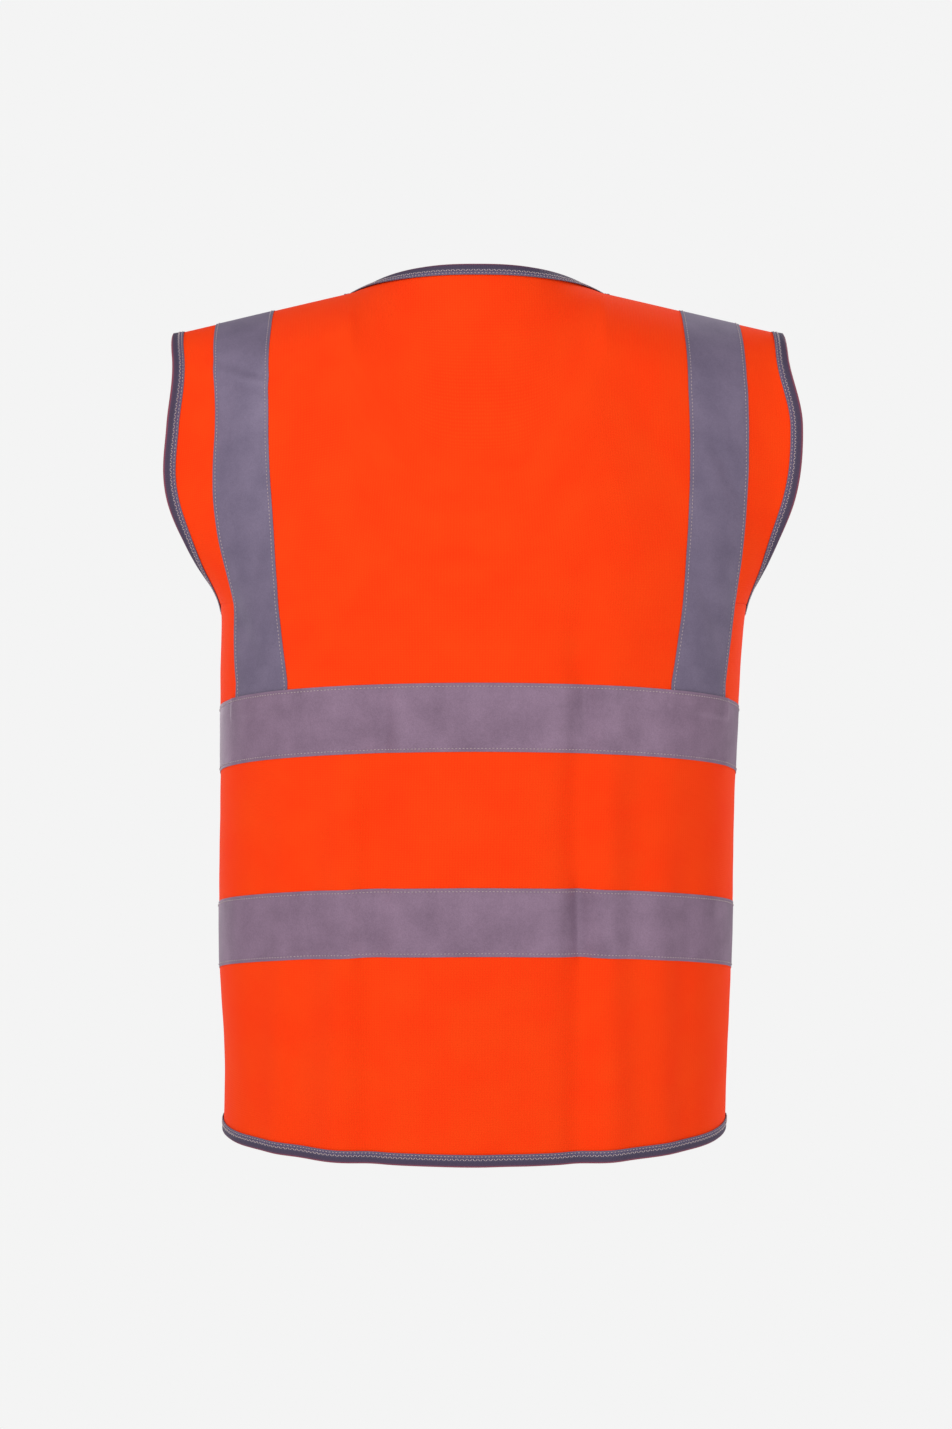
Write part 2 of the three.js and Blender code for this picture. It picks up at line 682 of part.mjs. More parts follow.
const sizeLabelTop = BACK_NECK_RISE - clearOfBinding;
const sizeLabelSpot = (u, v) => {
  const z = sizeLabelTop - (1 - v) * SIZE_LABEL.height;
  return [columnAt((u - 0.5) * SIZE_LABEL.width, z), z];
};
const sizeLabel = layer(BACK, 2, 1, SIZE_LABEL.thickness, sizeLabelSpot, within(SIZE_LABEL.thickness));
addPiece('size_label', sizeLabel, 'label');

const careLabelSpot = (u, v) => {
  const z = (v - 0.5) * CARE_LABEL.height - CARE_LABEL.drop;
  return [columnBeside(FRONT, 1, z, -mix(2, CARE_LABEL.width + 2, u)), z];
};
const careLabel = layer(FRONT, 2, 1, CARE_LABEL.thickness, careLabelSpot, within(CARE_LABEL.thickness));
addPiece('care_label', careLabel, 'label');

export default vest;
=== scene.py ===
# High visibility vest, worn: the back faces +Y, the fronts -Y, and +X is the wearer's left.
# Metres. Every piece of cloth, tape and binding is laid on one worn shape, cloth_point(), and
# takes the same folds from drape(), so that the layers lie on each other as sewn ones do.

from math import pi, radians

import bmesh
import bpy
import numpy as np
from mathutils import Matrix, Vector


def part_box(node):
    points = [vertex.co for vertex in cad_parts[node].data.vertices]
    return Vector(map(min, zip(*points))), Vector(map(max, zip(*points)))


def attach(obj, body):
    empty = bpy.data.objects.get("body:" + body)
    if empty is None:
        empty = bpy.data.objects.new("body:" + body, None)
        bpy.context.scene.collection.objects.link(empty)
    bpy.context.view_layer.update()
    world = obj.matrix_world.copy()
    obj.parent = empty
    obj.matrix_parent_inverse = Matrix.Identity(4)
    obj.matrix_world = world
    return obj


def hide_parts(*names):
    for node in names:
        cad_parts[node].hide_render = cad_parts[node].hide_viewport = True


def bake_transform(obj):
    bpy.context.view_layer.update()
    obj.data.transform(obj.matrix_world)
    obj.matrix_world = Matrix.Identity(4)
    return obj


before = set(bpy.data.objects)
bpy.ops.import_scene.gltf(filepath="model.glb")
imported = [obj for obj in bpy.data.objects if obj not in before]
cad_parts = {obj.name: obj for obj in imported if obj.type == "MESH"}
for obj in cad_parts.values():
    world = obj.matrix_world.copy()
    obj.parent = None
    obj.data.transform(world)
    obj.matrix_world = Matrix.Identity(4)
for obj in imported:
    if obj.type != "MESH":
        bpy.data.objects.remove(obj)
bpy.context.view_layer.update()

MM = 0.001

# ---------------------------------------------------------------- sizes of the garment

NECK_HALF_WIDTH = 94 * MM
BACK_NECK_DEPTH = 80 * MM
BACK_NECK_RISE = 11 * MM
FRONT_NECK_DROP = 235 * MM
SHOULDER_HALF_WIDTH = 233 * MM
SHOULDER_DROP = 31 * MM
ARMHOLE_FLARE = 16 * MM
UNDERARM_DROP = 238 * MM
CHEST_HALF_WIDTH = 203 * MM
WAIST_HALF_WIDTH = 196 * MM
HEM_HALF_WIDTH = 192 * MM
BACK_DEPTH = 128 * MM
FRONT_DEPTH = 116 * MM
ARMHOLE_HALF_DEPTH = 56 * MM
HEM_DROP = 650 * MM
HEM_LIFT = 14 * MM
SHOULDER_ARCH_DROP = 62 * MM
NAPE_ARCH_DROP = 140 * MM

TAPE_WIDTH = 50 * MM
BAND_DROPS = {"upper": 299 * MM, "lower": 448 * MM}
BAND_DROOP = 19 * MM
BRACE_TOP_X = 177 * MM
BRACE_FOOT_X = 162 * MM
BRACE_BOW = 7 * MM

FRONT_OVERLAP = 40 * MM
LAYER_GAP = 3.2 * MM
FOLD_TOP_DROP = 80 * MM
FOLD_TOP_INSET = 9 * MM
FOLD_FOOT_X = 150 * MM

CLOTH_THICKNESS = 0.5 * MM
CLOTH_MIDDLE = 0.5 * MM
TAPE_THICKNESS = 0.3 * MM
TAPE_MIDDLE = 1.05 * MM
BINDING_WIDTH = 8 * MM
BINDING_THICKNESS = 0.4 * MM
BINDING_CLEARANCE = 0.75 * MM
SEAM_GAP = 0.02 * MM

BACK, FRONT = 1, -1
SIDES = {"left": 1, "right": -1}
SHOULDER_TURN = radians(62)
SECTION_FULLNESS = 0.25
NECK_ROUNDNESS = 2.6
FLARE_POWER = 5
EDGE_HOLD = 2.5


# ---------------------------------------------------------------- the worn shape


def mix(a, b, t):
    return a + (b - a) * t


def smooth(value, low, high):
    t = np.clip((value - low) / (high - low), 0, 1)
    return t * t * (3 - 2 * t)


def through(stations, distance):
    """A smooth curve through (distance, value) stations, flat at both ends."""
    at, value = np.array(stations, float).T
    slope = np.zeros(len(at))
    slope[1:-1] = (value[2:] - value[:-2]) / (at[2:] - at[:-2])
    distance = np.clip(distance, at[0], at[-1])
    i = np.clip(np.searchsorted(at, distance, side="right") - 1, 0, len(at) - 2)
    span = at[i + 1] - at[i]
    t = (distance - at[i]) / span
    pull, push = slope[i] * span, slope[i + 1] * span
    bend = 2 * (value[i] - value[i + 1]) + pull + push
    return value[i] + t * (pull + t * (3 * (value[i + 1] - value[i]) - 2 * pull - push + t * bend))


ARMHOLE_SPAN = UNDERARM_DROP - SHOULDER_DROP


def armhole_drop(share):
    return SHOULDER_DROP + share * ARMHOLE_SPAN


BODY_WIDTHS = [
    (SHOULDER_DROP, SHOULDER_HALF_WIDTH),
    (armhole_drop(0.35), mix(SHOULDER_HALF_WIDTH, CHEST_HALF_WIDTH, 0.07)),
    (UNDERARM_DROP, CHEST_HALF_WIDTH),
    (mix(UNDERARM_DROP, HEM_DROP, 0.25), WAIST_HALF_WIDTH + 1 * MM),
    (mix(UNDERARM_DROP, HEM_DROP, 0.6), WAIST_HALF_WIDTH),
    (HEM_DROP, HEM_HALF_WIDTH),
]
FLARES = [
    (armhole_drop(0.1), 0),
    (armhole_drop(0.36), 0.7 * ARMHOLE_FLARE),
    (armhole_drop(0.62), ARMHOLE_FLARE),
    (armhole_drop(0.85), 0.5 * ARMHOLE_FLARE),
    (UNDERARM_DROP, 0),
]
BACK_DEPTHS = [
    (0, 0.8 * BACK_DEPTH),
    (0.6 * UNDERARM_DROP, 0.98 * BACK_DEPTH),
    (0.5 * HEM_DROP, BACK_DEPTH),
    (HEM_DROP, 0.95 * BACK_DEPTH),
]


def centre_depth(face, z):
    if face == BACK:
        return through(BACK_DEPTHS, -z)
    return FRONT_DEPTH * mix(0.84, 1, np.clip(-z / HEM_DROP, 0, 1))


def armhole_share(z):
    return (-z - SHOULDER_DROP) / ARMHOLE_SPAN


def edge_turn(z):
    """How far round the section the cloth reaches: a quarter turn at a side seam."""
    return mix(SHOULDER_TURN, pi / 2, smooth(armhole_share(z), 0.25, 1))


def edge_depth(z):
    share = np.clip(armhole_share(z), 0.5, 1)
    return ARMHOLE_HALF_DEPTH * np.maximum(np.sin(pi * share), 0) ** 0.6


def section_depth(angle):
    return np.cos(angle) * (1 + SECTION_FULLNESS * np.sin(angle) ** 2)


def cloth_x(across, z):
    turn = edge_turn(z)
    body = through(BODY_WIDTHS, -z) * np.sin(across * turn) / np.sin(turn)
    return body + through(FLARES, -z) * across**FLARE_POWER


def column_top(face, across):
    """Height, distance behind the shoulder line, arch height and arch power of a column's top."""
    x = cloth_x(np.abs(across), -SHOULDER_DROP + 0 * across)
    slope = SHOULDER_DROP / (SHOULDER_HALF_WIDTH - NECK_HALF_WIDTH)
    z = np.minimum(0, -(x - NECK_HALF_WIDTH) * slope)
    if face == FRONT:
        return z, 0 * z, SHOULDER_ARCH_DROP + 0 * z, 1 + 0 * z
    nape = np.clip(1 - (x / NECK_HALF_WIDTH) ** NECK_ROUNDNESS, 0, 1)
    arch = mix(SHOULDER_ARCH_DROP, NAPE_ARCH_DROP, nape)
    return z + BACK_NECK_RISE * nape, BACK_NECK_DEPTH * nape, arch, 1 + nape


def cloth_point(face, across, z):
    """A point of the worn shape; across runs from -1 at the right edge to 1 at the left."""
    across, z = np.broadcast_arrays(np.asarray(across, float), np.asarray(z, float))
    turn = edge_turn(z)
    rim = section_depth(turn)
    crown = (section_depth(np.abs(across) * turn) - rim) / (1 - rim)
    crown = np.clip(crown, 0, 1)
    depth = centre_depth(face, z) * crown + edge_depth(z) * (1 - crown) ** EDGE_HOLD
    top_z, top_y, arch, power = column_top(face, across)
    left = np.clip(1 - (top_z - z) / arch, 0, 1)
    swell = np.maximum(0, 1 - left * left) ** (power / 2)
    return np.stack([cloth_x(across, z), face * mix(top_y, depth, swell), z], axis=-1)


def unit(vectors):
    return vectors / np.linalg.norm(vectors, axis=-1, keepdims=True)


def cloth_normal(face, across, z):
    step, reach = 0.004, 0.2 * MM
    inner = np.clip(across, step - 1, 1 - step)
    sideways = cloth_point(face, inner + step, z) - cloth_point(face, inner - step, z)
    down = z - reach
    upwards = cloth_point(face, across, down) - cloth_point(face, across, down - reach)
    return unit(np.cross(sideways, upwards) * -face)


HALVINGS = 32


def column_at(x, z):
    """The column that lies at x on a level."""
    x, z = np.broadcast_arrays(np.asarray(x, float), np.asarray(z, float))
    low, high = -np.ones(x.shape), np.ones(x.shape)
    for _ in range(HALVINGS):
        middle = (low + high) / 2
        short = cloth_x(middle, z) < x
        low, high = np.where(short, middle, low), np.where(short, high, middle)
    return low


def column_beside(face, across, z, distance):
    """The column at a distance along a level from another one."""
    steps = 8
    for _ in range(steps):
        span = cloth_point(face, across + 0.001, z) - cloth_point(face, across - 0.001, z)
        across = across + distance / steps * 0.002 / np.linalg.norm(span, axis=-1)
    return across


# ---------------------------------------------------------------- folds and creases


def ridge(value, width):
    return np.exp(-((value / width) ** 2))


# Long soft folds of the back: where they run at the hem, how far that is from the middle at the
# shoulder blades, depth, half width and the height where they fade out.
BACK_FOLDS = [
    (0.078, 0.066, -5.2 * MM, 13 * MM, -0.20),
    (-0.075, -0.076, -5.4 * MM, 12 * MM, -0.16),
    (0.128, 0.112, -3.0 * MM, 16 * MM, -0.26),
    (-0.122, -0.115, -3.2 * MM, 17 * MM, -0.25),
    (0.101, 0.092, 3.2 * MM, 14 * MM, -0.27),
    (-0.100, -0.098, 2.8 * MM, 13 * MM, -0.27),
    (0.010, 0.004, 2.4 * MM, 42 * MM, -0.30),
    (0.160, 0.152, -2.6 * MM, 12 * MM, -0.34),
    (-0.158, -0.150, -2.7 * MM, 12 * MM, -0.33),
]
FRONT_FOLDS = [
    (0.098, 0.090, -3.4 * MM, 14 * MM, -0.26),
    (-0.104, -0.095, -3.6 * MM, 15 * MM, -0.27),
    (0.060, 0.058, 1.5 * MM, 18 * MM, -0.33),
    (-0.062, -0.060, 1.4 * MM, 18 * MM, -0.32),
    (0.140, 0.146, -1.6 * MM, 13 * MM, -0.30),
    (-0.142, -0.147, -1.5 * MM, 13 * MM, -0.31),
]


def long_folds(folds, x, z):
    height = 0 * z
    down = np.clip(-z / HEM_DROP, 0, 1)
    for foot, top, depth, width, start in folds:
        line = mix(top, foot, down) + 2.5 * MM * np.sin(9 * down + 40 * foot)
        height = height + depth * ridge(x - line, width) * smooth(-z, -start, -start + 0.17)
    return height


# Creases pressed into a band where a long fold crosses it: where, depth and half width.
BAND_CREASES = {
    "upper": [(-0.080, -2.3 * MM, 4.5 * MM), (0.070, -1.7 * MM, 7 * MM), (-0.066, 1.3 * MM, 9 * MM)],
    "lower": [(-0.077, -2.5 * MM, 4.5 * MM), (0.085, -1.8 * MM, 6 * MM), (0.006, -1.2 * MM, 7 * MM)],
}


def band_creases(across, x, z):
    height = 0 * z
    for level, creases in BAND_CREASES.items():
        off = z - band_top(across, BAND_DROPS[level]) + TAPE_WIDTH / 2
        inside = 1 - smooth(np.abs(off), 0.42 * TAPE_WIDTH, 0.85 * TAPE_WIDTH)
        for where, depth, width in creases:
            height = height + depth * ridge(x - where - 0.06 * off, width) * inside
    return height


def ripple(x, z, length, seed):
    """Small waves without a repeat, about one length apart and from -1 to 1."""
    k = 2 * pi / length
    total = np.sin(k * (0.83 * x + 0.41 * z) + seed)
    total = total + np.sin(k * (1.13 * x - 0.37 * z) + 2.3 * seed + 1.1)
    total = total + np.sin(k * (0.29 * x + 0.97 * z) + 3.7 * seed + 2.9)
    return total / 3


def band_top(across, drop):
    return -drop - BAND_DROOP * across * across


# Nips across the brace tapes at the shoulder blades: how far down, slope, where across, depth,
# half width and reach to each side.
BRACE_NIPS = [
    (0.064, 0.34, 0.176, -1.5 * MM, 5 * MM, 26 * MM),
    (0.073, 0.34, 0.176, 1.2 * MM, 7 * MM, 30 * MM),
    (0.078, -0.30, -0.180, -0.9 * MM, 6 * MM, 26 * MM),
]


def shoulder_drags(face, x, z):
    """Soft hollows that run down from the neck points, and a nip across each brace tape."""
    height = 0 * z
    for side in (1, -1):
        along = side * x - NECK_HALF_WIDTH - 0.30 * (-z - 0.02)
        hollow = ridge(along, 24 * MM) * smooth(-z, 0.025, 0.075) * (1 - smooth(-z, 0.14, 0.26))
        height = height - 2.0 * MM * hollow
    for down, slope, across, depth, width, reach in BRACE_NIPS if face == BACK else []:
        tilt = z + down - slope * (x - np.sign(across) * BRACE_TOP_X)
        height = height + depth * ridge(tilt, width) * ridge(x - across, reach)
    return height


def brace_dents(x, z):
    """Diagonal dents where the brace tapes run down to the upper band."""
    height = 0 * z
    for across, down, lean, depth in [
        (0.176, 0.262, 0.9, -1.5 * MM),
        (0.165, 0.205, -0.7, -0.9 * MM),
        (-0.168, 0.240, 0.8, -1.4 * MM),
        (-0.182, 0.140, 0.9, -1.0 * MM),
        (-0.172, 0.276, -0.5, -1.1 * MM),
    ]:
        slant = (x - across) - lean * (z + down) * 0.5
        height = height + depth * ridge(slant, 7 * MM) * ridge(z + down, 26 * MM)
    return height


def drape(face, across, z):
    """How far the folded cloth stands off the worn shape."""
    x = cloth_x(across, z)
    folds = long_folds(BACK_FOLDS if face == BACK else FRONT_FOLDS, x, z)
    loose = smooth(-z, 0.05, 0.30)
    waves = 1.3 * MM * ripple(x, 0.35 * z, 0.085, 1.7 + face)
    crinkle = 0.22 * MM * ripple(x, z, 0.031, 4.1 + face)
    puckers = 0 * z
    for drop in BAND_DROPS.values():
        for stitch_line in (2.5 * MM, TAPE_WIDTH - 2.5 * MM):
            off = z - band_top(across, drop) + stitch_line
            puckers = puckers + 0.32 * MM * ridge(off, 7 * MM) * ripple(1.6 * x, z, 0.017, 2.0)
    hem = 0.5 * MM * ridge(z + HEM_DROP, 22 * MM) * ripple(x, z, 0.034, 0.6)
    height = folds + (0.35 + 0.65 * loose) * waves + crinkle + puckers + hem
    height = height + shoulder_drags(face, x, z) + brace_dents(x, z)
    if face == BACK:
        height = height + band_creases(across, x, z)
    seam = 1 - np.abs(across) ** 24 * smooth(-z, UNDERARM_DROP - 0.03, UNDERARM_DROP)
    ridge_line = smooth(-z - SHOULDER_DROP * np.abs(across), 0, 0.02)
    return height * seam * ridge_line


# Where the wearer's left side is drawn in: how far down, over what height, how deep, and the
# distances from the middle between which it sets in.
LEFT_NIPS = [
    (0.585, 0.050, -3.0 * MM, 0.12, 0.19),
    (0.095, 0.045, -9.0 * MM, 0.17, 0.23),
    (0.235, 0.035, -4.5 * MM, 0.15, 0.20),
]


def lean(points):
    """The garment hangs a little to the wearer's right at the underarms and fuller there."""
    x, drop = points[..., 0], -points[..., 2]
    shift = -3.5 * MM * ridge(drop - 0.22, 0.17) + 1.5 * MM * smooth(drop, 0.35, 0.6)
    for down, reach, depth, inner, outer in LEFT_NIPS:
        shift = shift + depth * ridge(drop - down, reach) * smooth(x, inner, outer)
    moved = points.copy()
    moved[..., 0] += shift
    return moved


def draped(face, across, z, lift):
    """Where a layer lies: lift is the height of its middle above the worn shape."""
    normal = cloth_normal(face, across, z)
    height = np.asarray(lift + drape(face, across, z))
    return lean(cloth_point(face, across, z) + normal * height[..., None])


# ---------------------------------------------------------------- outlines


def hem_level(across):
    return HEM_LIFT * across * across - HEM_DROP


def front_edge_x(z):
    share = np.clip(-z / FRONT_NECK_DROP, 0, 1)
    return mix(NECK_HALF_WIDTH, -FRONT_OVERLAP / 2, share**1.5)


def fold_x(z):
    top = front_edge_x(-FOLD_TOP_DROP) + FOLD_TOP_INSET
    return mix(top, FOLD_FOOT_X, (-z - FOLD_TOP_DROP) / (HEM_DROP - FOLD_TOP_DROP))


def flap_lift(side, across, z):
    """The left front laps over the right one, and neither stands off at its fold.
    Here across grows from the front edge outwards, for either side."""
    x = cloth_x(across, z)
    return side * LAYER_GAP / 2 * (1 - smooth(x, FRONT_OVERLAP, fold_x(z)))


ARCH_SHARE, ARMHOLE_SHARE = 0.12, 0.30


def cloth_level(face, across, v):
    """Height at a share v of the way down a column: over the arch, past the armhole, to the hem."""
    top_z, _, arch, _ = column_top(face, across)
    turn = np.clip(v / ARCH_SHARE, 0, 1) * pi / 2
    over = top_z - arch * (1 - np.cos(turn))
    share = np.clip((v - ARCH_SHARE) / ARMHOLE_SHARE, 0, 1)
    past = mix(top_z - arch, -UNDERARM_DROP, np.sin(share * pi / 2))
    down = np.clip((v - ARCH_SHARE - ARMHOLE_SHARE) / (1 - ARCH_SHARE - ARMHOLE_SHARE), 0, 1)
    body = mix(-UNDERARM_DROP, hem_level(across), down)
    return np.where(v <= ARCH_SHARE, over, np.where(share < 1, past, body))


# ---------------------------------------------------------------- making a piece


def new_piece(name, bm, material):
    bmesh.ops.recalc_face_normals(bm, faces=bm.faces)
    mesh = bpy.data.meshes.new(name)
    bm.to_mesh(mesh)
    bm.free()
    piece = bpy.data.objects.new(name, mesh)
    bpy.context.scene.collection.objects.link(piece)
    mesh.materials.append(material)
    for face in mesh.polygons:
        face.use_smooth = True
    return piece


def laid_grid(name, columns, rows, place, material, thickness):
    """A sheet woven from a flat grid: place(u, v) gives the points, u and v from 0 to 1.
    Its UV map measures the cloth in metres along and across, for patterns that follow it."""
    bm = bmesh.new()
    bmesh.ops.create_grid(bm, x_segments=columns, y_segments=rows, size=0.5)
    flat = np.array([v.co for v in bm.verts]) + 0.5
    spots = place(flat[:, 0], flat[:, 1])
    for vertex, spot in zip(bm.verts, spots.tolist()):
        vertex.co = spot
    grid = spots.reshape(rows + 1, columns + 1, 3)
    steps_u = np.linalg.norm(np.diff(grid, axis=1), axis=2).mean(0)
    steps_v = np.linalg.norm(np.diff(grid, axis=0), axis=2).mean(1)
    along = np.concatenate([[0], np.cumsum(steps_u)])
    up = np.concatenate([[0], np.cumsum(steps_v)])
    for edge in bm.edges:
        edge.smooth = not edge.is_boundary
    uv = bm.loops.layers.uv.new("cloth")
    for face in bm.faces:
        for loop in face.loops:
            row, column = divmod(loop.vert.index, columns + 1)
            loop[uv].uv = (along[column], up[row])
    piece = new_piece(name, bm, material)
    wall = piece.modifiers.new("thickness", "SOLIDIFY")
    wall.thickness = thickness
    wall.offset = 0
    return piece


def binding_profile(count, lift_outer, lift_inner):
    """The cross section of a folded binding: (inwards, upwards) from one leg round to the other."""
    half = (lift_outer - lift_inner) / 2
    middle = (lift_outer + lift_inner) / 2
    length = BINDING_WIDTH
    total = 2 * length + pi * half
    distance = np.linspace(0, total, count + 1)
    turn = np.clip((distance - length) / half, 0, pi)
    inwards = np.where(distance < length, length - distance, -half * np.sin(turn))
    inwards = np.where(distance > length + pi * half, distance - length - pi * half, inwards)
    upwards = middle + half * np.cos(turn)
    return inwards, upwards


# ---------------------------------------------------------------- materials


def linear(hex_colour):
    """A hex colour from sRGB to linear, with alpha 1."""
    parts = [int(hex_colour[i : i + 2], 16) / 255 for i in (1, 3, 5)]
    return (*[c / 12.92 if c <= 0.04045 else ((c + 0.055) / 1.055) ** 2.4 for c in parts], 1)


def add_node(tree, kind, settings=None, links=None):
    """Adds a node: settings are properties or input values by name, links are sockets to join."""
    node = tree.nodes.new(kind)
    for name, value in (settings or {}).items():
        if isinstance(name, int) or name in node.inputs:
            node.inputs[name].default_value = value
        else:
            setattr(node, name, value)
    for name, socket in (links or {}).items():
        tree.links.new(socket, node.inputs[name])
    return node


def new_material(name):
    material = bpy.data.materials.new(name)
    material.use_nodes = True
    tree = material.node_tree
    return material, tree, tree.nodes["Principled BSDF"]


def wave_scale(period):
    """The Wave texture's scale for a period in metres."""
    return 0.314159 / period


def cloth_coordinates(tree):
    return add_node(tree, "ShaderNodeUVMap", {"uv_map": "cloth"}).outputs["UV"]


def waves(tree, cloth, period, settings):
    settings = {"Scale": wave_scale(period), **settings}
    return add_node(tree, "ShaderNodeTexWave", settings, {"Vector": cloth}).outputs["Fac"]


def with_share(tree, whole, share, other):
    """The sum of one pattern and a share of another."""
    settings = {"operation": "MULTIPLY_ADD", 1: share}
    return add_node(tree, "ShaderNodeMath", settings, {0: other, 2: whole}).outputs[0]


def tint_between(tree, pattern, low, high, start=0.0, end=1.0):
    """A colour that goes from low to high as the pattern goes from start to end."""
    tint = add_node(tree, "ShaderNodeValToRGB", {}, {"Fac": pattern})
    for stop, position, colour in zip(tint.color_ramp.elements, (start, end), (low, high)):
        stop.position = position
        stop.color = linear(colour)
    return tint


def surface(tree, shader, tint, roughness, relief=None, strength=0.0, depth=0.0, invert=False):
    """Gives a shader its colour and roughness, and bumps from a pattern of heights."""
    tree.links.new(tint.outputs["Color"], shader.inputs["Base Color"])
    shader.inputs["Roughness"].default_value = roughness
    if relief is not None:
        settings = {"Strength": strength, "Distance": depth, "invert": invert}
        bump = add_node(tree, "ShaderNodeBump", settings, {"Height": relief})
        tree.links.new(bump.outputs["Normal"], shader.inputs["Normal"])


def fluorescent_knit():
    """Warp-knitted polyester dyed fluorescent red-orange: matt, saturated, with a fine rib of loops.
    The wales are 1 mm apart in the real cloth and drawn 2.1 mm apart so that they show."""
    material, tree, shader = new_material("fluorescent_polyester_knit")
    cloth = cloth_coordinates(tree)
    wales = waves(
        tree, cloth, 2.1 * MM, {"Distortion": 1.2, "Detail": 1.0, "Detail Scale": 0.4}
    )
    courses = waves(
        tree, cloth, 1.7 * MM, {"bands_direction": "Y", "Distortion": 1.5, "Detail": 1.0}
    )
    loops = add_node(tree, "ShaderNodeMath", {"operation": "MULTIPLY"}, {0: wales, 1: courses})
    mottle = add_node(tree, "ShaderNodeTexNoise", {"Scale": 26.0, "Detail": 4.0}, {"Vector": cloth})
    shade = with_share(tree, mottle.outputs["Fac"], 0.45, loops.outputs[0])
    tint = tint_between(tree, shade, "#ff3802", "#ff4406", 0.25, 0.95)
    surface(tree, shader, tint, 0.88, loops.outputs[0], 0.35, 0.25 * MM)
    shader.inputs["Specular IOR Level"].default_value = 0.15
    shader.inputs["Sheen Weight"].default_value = 0.05
    shader.inputs["Sheen Roughness"].default_value = 0.5
    shader.inputs["Sheen Tint"].default_value = linear("#ff6a3a")
    return material


def reflective_tape(name, light, dark):
    """Retroreflective tape: glass beads half sunk in a grey layer on woven cloth. It is satin, with
    a fine grain of beads and a faint cloudiness. The beads are under 0.1 mm, drawn 0.7 mm."""
    material, tree, shader = new_material(name)
    cloth = cloth_coordinates(tree)
    beads = add_node(tree, "ShaderNodeTexVoronoi", {"Scale": 1 / (0.7 * MM)}, {"Vector": cloth})
    cloud = add_node(tree, "ShaderNodeTexNoise", {"Scale": 38.0, "Detail": 5.0}, {"Vector": cloth})
    grain = with_share(tree, cloud.outputs["Fac"], 0.30, beads.outputs["Color"])
    tint = tint_between(tree, grain, dark, light, 0.36, 0.95)
    wrinkle = add_node(
        tree, "ShaderNodeTexNoise", {"Scale": 120.0, "Detail": 3.0, "Roughness": 0.6}, {"Vector": cloth}
    )
    height = with_share(tree, wrinkle.outputs["Fac"], 0.25, beads.outputs["Distance"])
    surface(tree, shader, tint, 0.56, height, 0.35, 0.35 * MM)
    shader.inputs["Metallic"].default_value = 0.25
    shader.inputs["Specular IOR Level"].default_value = 0.5
    return material


def folded_binding():
    """Woven polyester binding, folded over the edge: a fine rib across it, dark slate purple, graded
    darker towards the fold, with a warm red line along the fold. The ribs are drawn 1.4 mm apart."""
    material, tree, shader = new_material("woven_polyester_binding")
    cloth = cloth_coordinates(tree)
    parts = add_node(tree, "ShaderNodeSeparateXYZ", {}, {"Vector": cloth})
    ribs = waves(tree, cloth, 1.4 * MM, {"Distortion": 0.6, "Detail": 1.0})
    width = add_node(
        tree,
        "ShaderNodeMapRange",
        {"From Min": 0.0, "From Max": 2 * BINDING_WIDTH + 2.2 * MM},
        {"Value": parts.outputs["Y"]},
    )
    tint = tint_between(tree, width.outputs["Result"], "#6a6078", "#6a6078")
    for position, colour in (
        (0.10, "#5b5170"),
        (0.30, "#40364f"),
        (0.42, "#4a3450"),
        (0.47, "#8c3d50"),
        (0.53, "#8c3d50"),
        (0.58, "#4a3450"),
        (0.90, "#5b5170"),
    ):
        tint.color_ramp.elements.new(position).color = linear(colour)
    surface(tree, shader, tint, 0.7, ribs, 0.5, 0.3 * MM)
    return material


def spun_thread():
    """Polyester sewing thread, pale and slightly glossy, with a twist 0.6 mm long."""
    material, tree, shader = new_material("polyester_sewing_thread")
    place = add_node(tree, "ShaderNodeTexCoord").outputs["Object"]
    twist = add_node(tree, "ShaderNodeTexNoise", {"Scale": 1 / (0.6 * MM)}, {"Vector": place})
    surface(tree, shader, tint_between(tree, twist.outputs["Fac"], "#a29097", "#cdbbbb"), 0.55)
    return material


def hook_and_loop():
    """Hook and loop tape: nylon pile or hooks about 1.5 mm apart on a woven ground, very matt."""
    material, tree, shader = new_material("nylon_hook_and_loop")
    cloth = cloth_coordinates(tree)
    pile = add_node(tree, "ShaderNodeTexVoronoi", {"Scale": 1 / (1.5 * MM)}, {"Vector": cloth})
    tint = tint_between(tree, pile.outputs["Distance"], "#6a6176", "#2b2632")
    surface(tree, shader, tint, 0.95, pile.outputs["Distance"], 0.9, 0.6 * MM, invert=True)
    return material


def woven_label():
    """A woven satin label, white and blank, with weft threads drawn 0.8 mm apart."""
    material, tree, shader = new_material("woven_satin_label")
    weft = waves(tree, cloth_coordinates(tree), 0.8 * MM, {"bands_direction": "Y"})
    surface(tree, shader, tint_between(tree, weft, "#dedad4", "#f4f2ee"), 0.5, weft, 0.3, 0.2 * MM)
    return material


KNIT = fluorescent_knit()
# The bands' tape has the braces' grain but is tinted redder and more purple: the grey tape's own colour
# with a painted orange reflection of the bright cloth.
TAPE_WITH_PAINTED_REFLECTION = reflective_tape("glass_bead_tape_with_painted_reflection", "#957a92", "#7a6278")
BRACE_TAPE = reflective_tape("glass_bead_brace_tape", "#80738c", "#6a5f78")
BINDING = folded_binding()
THREAD = spun_thread()
HOOKS = hook_and_loop()
LABEL = woven_label()

# ---------------------------------------------------------------- stitches

STITCH_PITCH = 2.7 * MM
STITCH_LENGTH = 1.8 * MM
THREAD_RADIUS = 0.33 * MM
STITCH_INSET = 2.4 * MM
THREAD_LIFT = 0.16 * MM

# ---------------------------------------------------------------- the back

NECK_COLUMN = float(column_at(NECK_HALF_WIDTH, -SHOULDER_DROP))
RIDGE_START = 0.0002  # back and front meet over the shoulder with a hair's gap

BACK_COLUMNS, BACK_ROWS = 236, 180


def spread(u):
    """Columns of the back, closer together near the armholes and side seams."""
    s = 2 * u - 1
    return np.sign(s) * (1 - (1 - np.abs(s)) ** 1.15)


